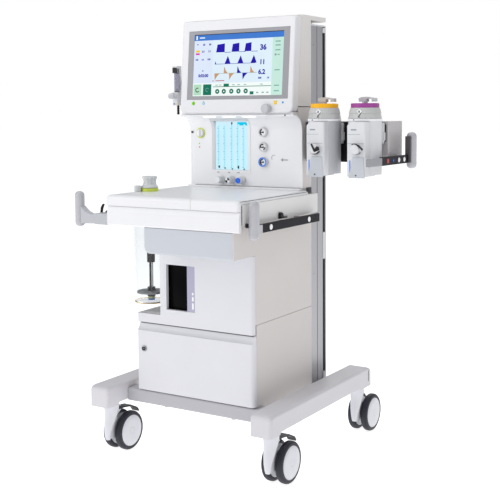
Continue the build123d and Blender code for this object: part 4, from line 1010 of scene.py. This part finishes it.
def wheel_caps(caster):
    """Domed caps on the outer faces of a caster's two wheels."""
    node = f"caster_discs_{caster}"
    y, z = middle_of(node).yz
    profile = [(46.5, -0.8), (46.5, 0.2), (45.2, 1.0), (30, 1.9), (12, 2.2), (11.2, 1.4), (10.4, 2.3),
               (2, 2.6)]
    for flank, plane, u in (("outer", right_side(edges_of(node)[1].x), y),
                            ("inner", left_side(edges_of(node)[0].x), -y)):
        cap = Piece(f"wheel_cap_{flank}_{caster}", plane, f"wheel_{caster}")
        cap.lathe(u, z, profile, "caster", 56)
        cap.done()


# ---- cabinet ----
def cabinet_details():
    """Painted shadow strips at the table's end seam and under the fascia on the drawer; the ventilator's
    strip and glass; the drawer's lock.
    """
    # painted shadow: a mid grey strip in the seam at the table's right end, standing for the shadow gap
    # there
    seam = Piece("table_end_painted_shadow", right_side(edges_of("table_frame")[1].x))
    seam.slab(rectangle(-96.5, -92, 766, 822), -0.2, 0.4, "shadow")
    seam.done()
    strip = Piece("ventilator_strip", front(1.2))
    strip.slab(rectangle(-21.4, 7.4, 477.2, 617.8), 0, 0.4, "lilac")
    for low, high in ((486, 506), (511, 525), (530, 538)):
        strip.slab(rounded(-3.5, 2.5, low, high, 2.5), 0.4, 0.6, "white")
    strip.done()
    glass = Piece("ventilator_glass", front(18))
    glass.slab(rounded(-110, -12, 472, 622, 3), 0, 1.5, "gloss_black", 0.5)
    glass.done()
    # painted shadow: a mid grey strip on the drawer just under the fascia band, standing for the shadow line
    # there
    shadow_strip = Piece("drawer_painted_shadow", front(14.3), "drawer")
    band = edges_of("front_fascia")[0].z
    shadow_strip.slab(rectangle(-210, 208, band - 7, band - 2), 0, 0.6, "shadow")
    shadow_strip.done()
    x, z = middle_of("drawer_lock").xz
    for start in (0, 180):
        ring = Piece(f"lock_rim_{start}", front(0), "drawer")
        ring.slab(arc_band(x, z, 9.3, 11.2, start, start + 180), -0.2, 0.8, "steel")
        ring.done()
    core = Piece("lock_core", front(edges_of("drawer_lock")[0].y), "drawer_lock")
    for start in (-80, 100):
        core.slab(arc_band(x, z, 2.2, 7.6, start, start + 160), 0, 0.5, "ink")
    core.done()


REAR_COVER_Y = 449.0


def back_details():
    """Screws of the rear covers, collars round the gas inlets, and the frame of the mains inlet."""
    screws = Piece("back_screws", rear(REAR_COVER_Y))
    for x in (-160, 160):
        for z in (235, 420, 620, 802, 838, 1080, 1352):
            screws.lathe(-x, z, [(4.2, 0), (4.2, 1.2), (3.2, 2.0)], "steel", 24)
            screws.slab(rectangle(-x - 2.6, -x + 2.6, z - 0.5, z + 0.5), 2.0, 2.2, "ink")
    screws.done()
    collars = Piece("inlet_collars", rear(REAR_COVER_Y))
    for x in (-90, -45, 0):
        collars.band(-x, 900, 12.6, 17, 0, 1.6, "pale")
    for sides in ((-124, -119, 872, 918), (-67, -62, 872, 918), (-119, -67, 872, 877),
                  (-119, -67, 913, 918)):
        collars.slab(rectangle(*sides), 0, 1.6, "black")
    collars.done()


# ---- auxiliary flowmeter ----
def aux_details():
    """Scale behind the tube, its cap and two buttons, the hose barb and the knob's grip."""
    tube = Piece("aux_scale", front(250.0))
    tube.slab(rounded(AUX_X - 9, AUX_X + 9, 1214, 1232, 1.5), 0, 0.8, "black")
    for step in range(12):
        z = 1158 + step * 4.6
        tube.slab(rectangle(AUX_X + 3, AUX_X + 7, z, z + 1.0), -12, -11.8, "grey_ink")
    tube.slab(rounded(AUX_X - 8.5, AUX_X + 8.5, 1154, 1213, 1.0), -12.0, -11.85, "lilac")
    for offset, paint in ((-4, "blue"), (4, "lamp_amber")):
        tube.lathe(AUX_X + offset, 1112, [(2.8, 0), (2.8, 0.4), (2.0, 0.7)], paint, 18)
    tube.done()
    foot = edges_of("aux_flowmeter")[0].z
    nozzle = Piece("aux_hose_barb", top(0))
    profile = [(4.4 if step % 2 else 3.6, foot + 4 * step) for step in range(7)]
    nozzle.lathe(AUX_X + 4, 262.0, profile + [(4.6, foot + 29)], "black", 28)
    nozzle.done()
    knob = Piece("aux_knob_grip", front(edges_of("aux_flow_knob")[0].y + 15.5), "aux_flow_knob")
    knob.lathe(AUX_X, 1138, [(9.6, -0.5), (10.0, 3), (10.0, 12), (9.0, 15.5), (4, 16)], "handle", 60,
               flutes=15, depth=0.8)
    knob.done()


# ---- canister ----
def canister_details():
    """Amber ring round the canister's foot, and lugs round its rim."""
    low, high = edges_of("absorber_canister")
    x, y = CANISTER.xy
    rim = Piece("canister_foot_ring", top(0), "canister")
    rim.hoop(x, y, [(50, low.z - 0.6), (52.3, low.z), (52.5, low.z + 3), (50, low.z + 3)], "amber")
    rim.done()
    collar = Piece("canister_lugs", top(0), "canister")
    for start in range(0, 360, 90):
        collar.slab(arc_band(x, y, 60, 63, start + 10, start + 40), high.z - 8, high.z - 2, "milky")
    collar.done()


# ---- stage, lights and camera ----
def stage():
    """Pale seamless floor, and a white world behind it that lights the object softly."""
    data = bpy.data.meshes.new("floor")
    reach = 40.0
    data.from_pydata([(-reach, -reach, 0), (reach, -reach, 0), (reach, reach, 0), (-reach, reach, 0)], [],
                     [(0, 1, 2, 3)])
    floor = in_scene("floor", data)
    paint = surface("floor_paint", (206, 206, 208), 0.8, cloud=0.006, **INK)
    glow = paint.node_tree.nodes["Principled BSDF"]
    glow.inputs["Emission Color"].default_value = (1, 1, 1, 1)
    glow.inputs["Emission Strength"].default_value = 0.84
    data.materials.append(paint)
    world = bpy.data.worlds.new("studio")
    world.use_nodes = True
    tree = world.node_tree
    seen = tree.nodes["Background"]
    seen.inputs["Color"].default_value = (1, 1, 1, 1)
    seen.inputs["Strength"].default_value = 1.0
    ambient = tree.nodes.new("ShaderNodeBackground")
    ambient.inputs["Color"].default_value = (0.96, 0.975, 1.0, 1)
    ambient.inputs["Strength"].default_value = 0.45
    rays = tree.nodes.new("ShaderNodeLightPath")
    blend = tree.nodes.new("ShaderNodeMixShader")
    tree.links.new(rays.outputs["Is Camera Ray"], blend.inputs["Fac"])
    tree.links.new(ambient.outputs["Background"], blend.inputs[1])
    tree.links.new(seen.outputs["Background"], blend.inputs[2])
    tree.links.new(blend.outputs["Shader"], tree.nodes["World Output"].inputs["Surface"])
    bpy.context.scene.world = world


def softbox(name, position, target, size, power):
    """A large soft lamp turned to its target."""
    light = bpy.data.lights.new(name, "AREA")
    light.shape = "RECTANGLE"
    light.size, light.size_y = size
    light.energy = power
    lamp = in_scene(name, light)
    lamp.location = position
    lamp.rotation_euler = (Vector(target) - Vector(position)).to_track_quat("-Z", "Y").to_euler()


def lights():
    middle = (0, 0, 0.75)
    softbox("key_left", (-2.2, -3.0, 2.5), middle, (2.6, 2.6), 44)
    softbox("top_soft", (0.2, -0.4, 3.6), (0, 0, 0.6), (3.4, 3.0), 36)
    softbox("fill_right", (3.4, -1.4, 1.6), middle, (2.4, 2.8), 4)
    softbox("back_fill", (-0.6, 3.4, 2.2), middle, (3.0, 2.4), 24)


def camera():
    """Seen from the front right, a little above the work surface."""
    data = bpy.data.cameras.new("camera")
    data.sensor_width = 36.0
    data.lens = 72.392
    data.shift_y = -0.12
    data.clip_end = 60
    thing = in_scene("camera", data)
    turn = Matrix.Rotation(radians(31.723), 4, "Z")
    pitch = Matrix.Rotation(radians(90 - 4.560), 4, "X")
    roll = Matrix.Rotation(-0.00742, 4, "Z")
    thing.matrix_world = Matrix.Translation((1.67297, -2.74633, 1.09073)) @ turn @ pitch @ roll
    bpy.context.scene.camera = thing
    bpy.context.scene.view_settings.view_transform = "Standard"


finish_nodes()
screen_display()
monitor_marks()
panel_details()
flow_scales()
gauge_faces()
knob_caps()
pressure_valve()
rail_details()
hooks()
grip_marks()
for tone in VAP:
    vaporizer_details(tone)
dock_latches()
column_details()
base_details()
cabinet_details()
back_details()
aux_details()
canister_details()
stage()
lights()
camera()
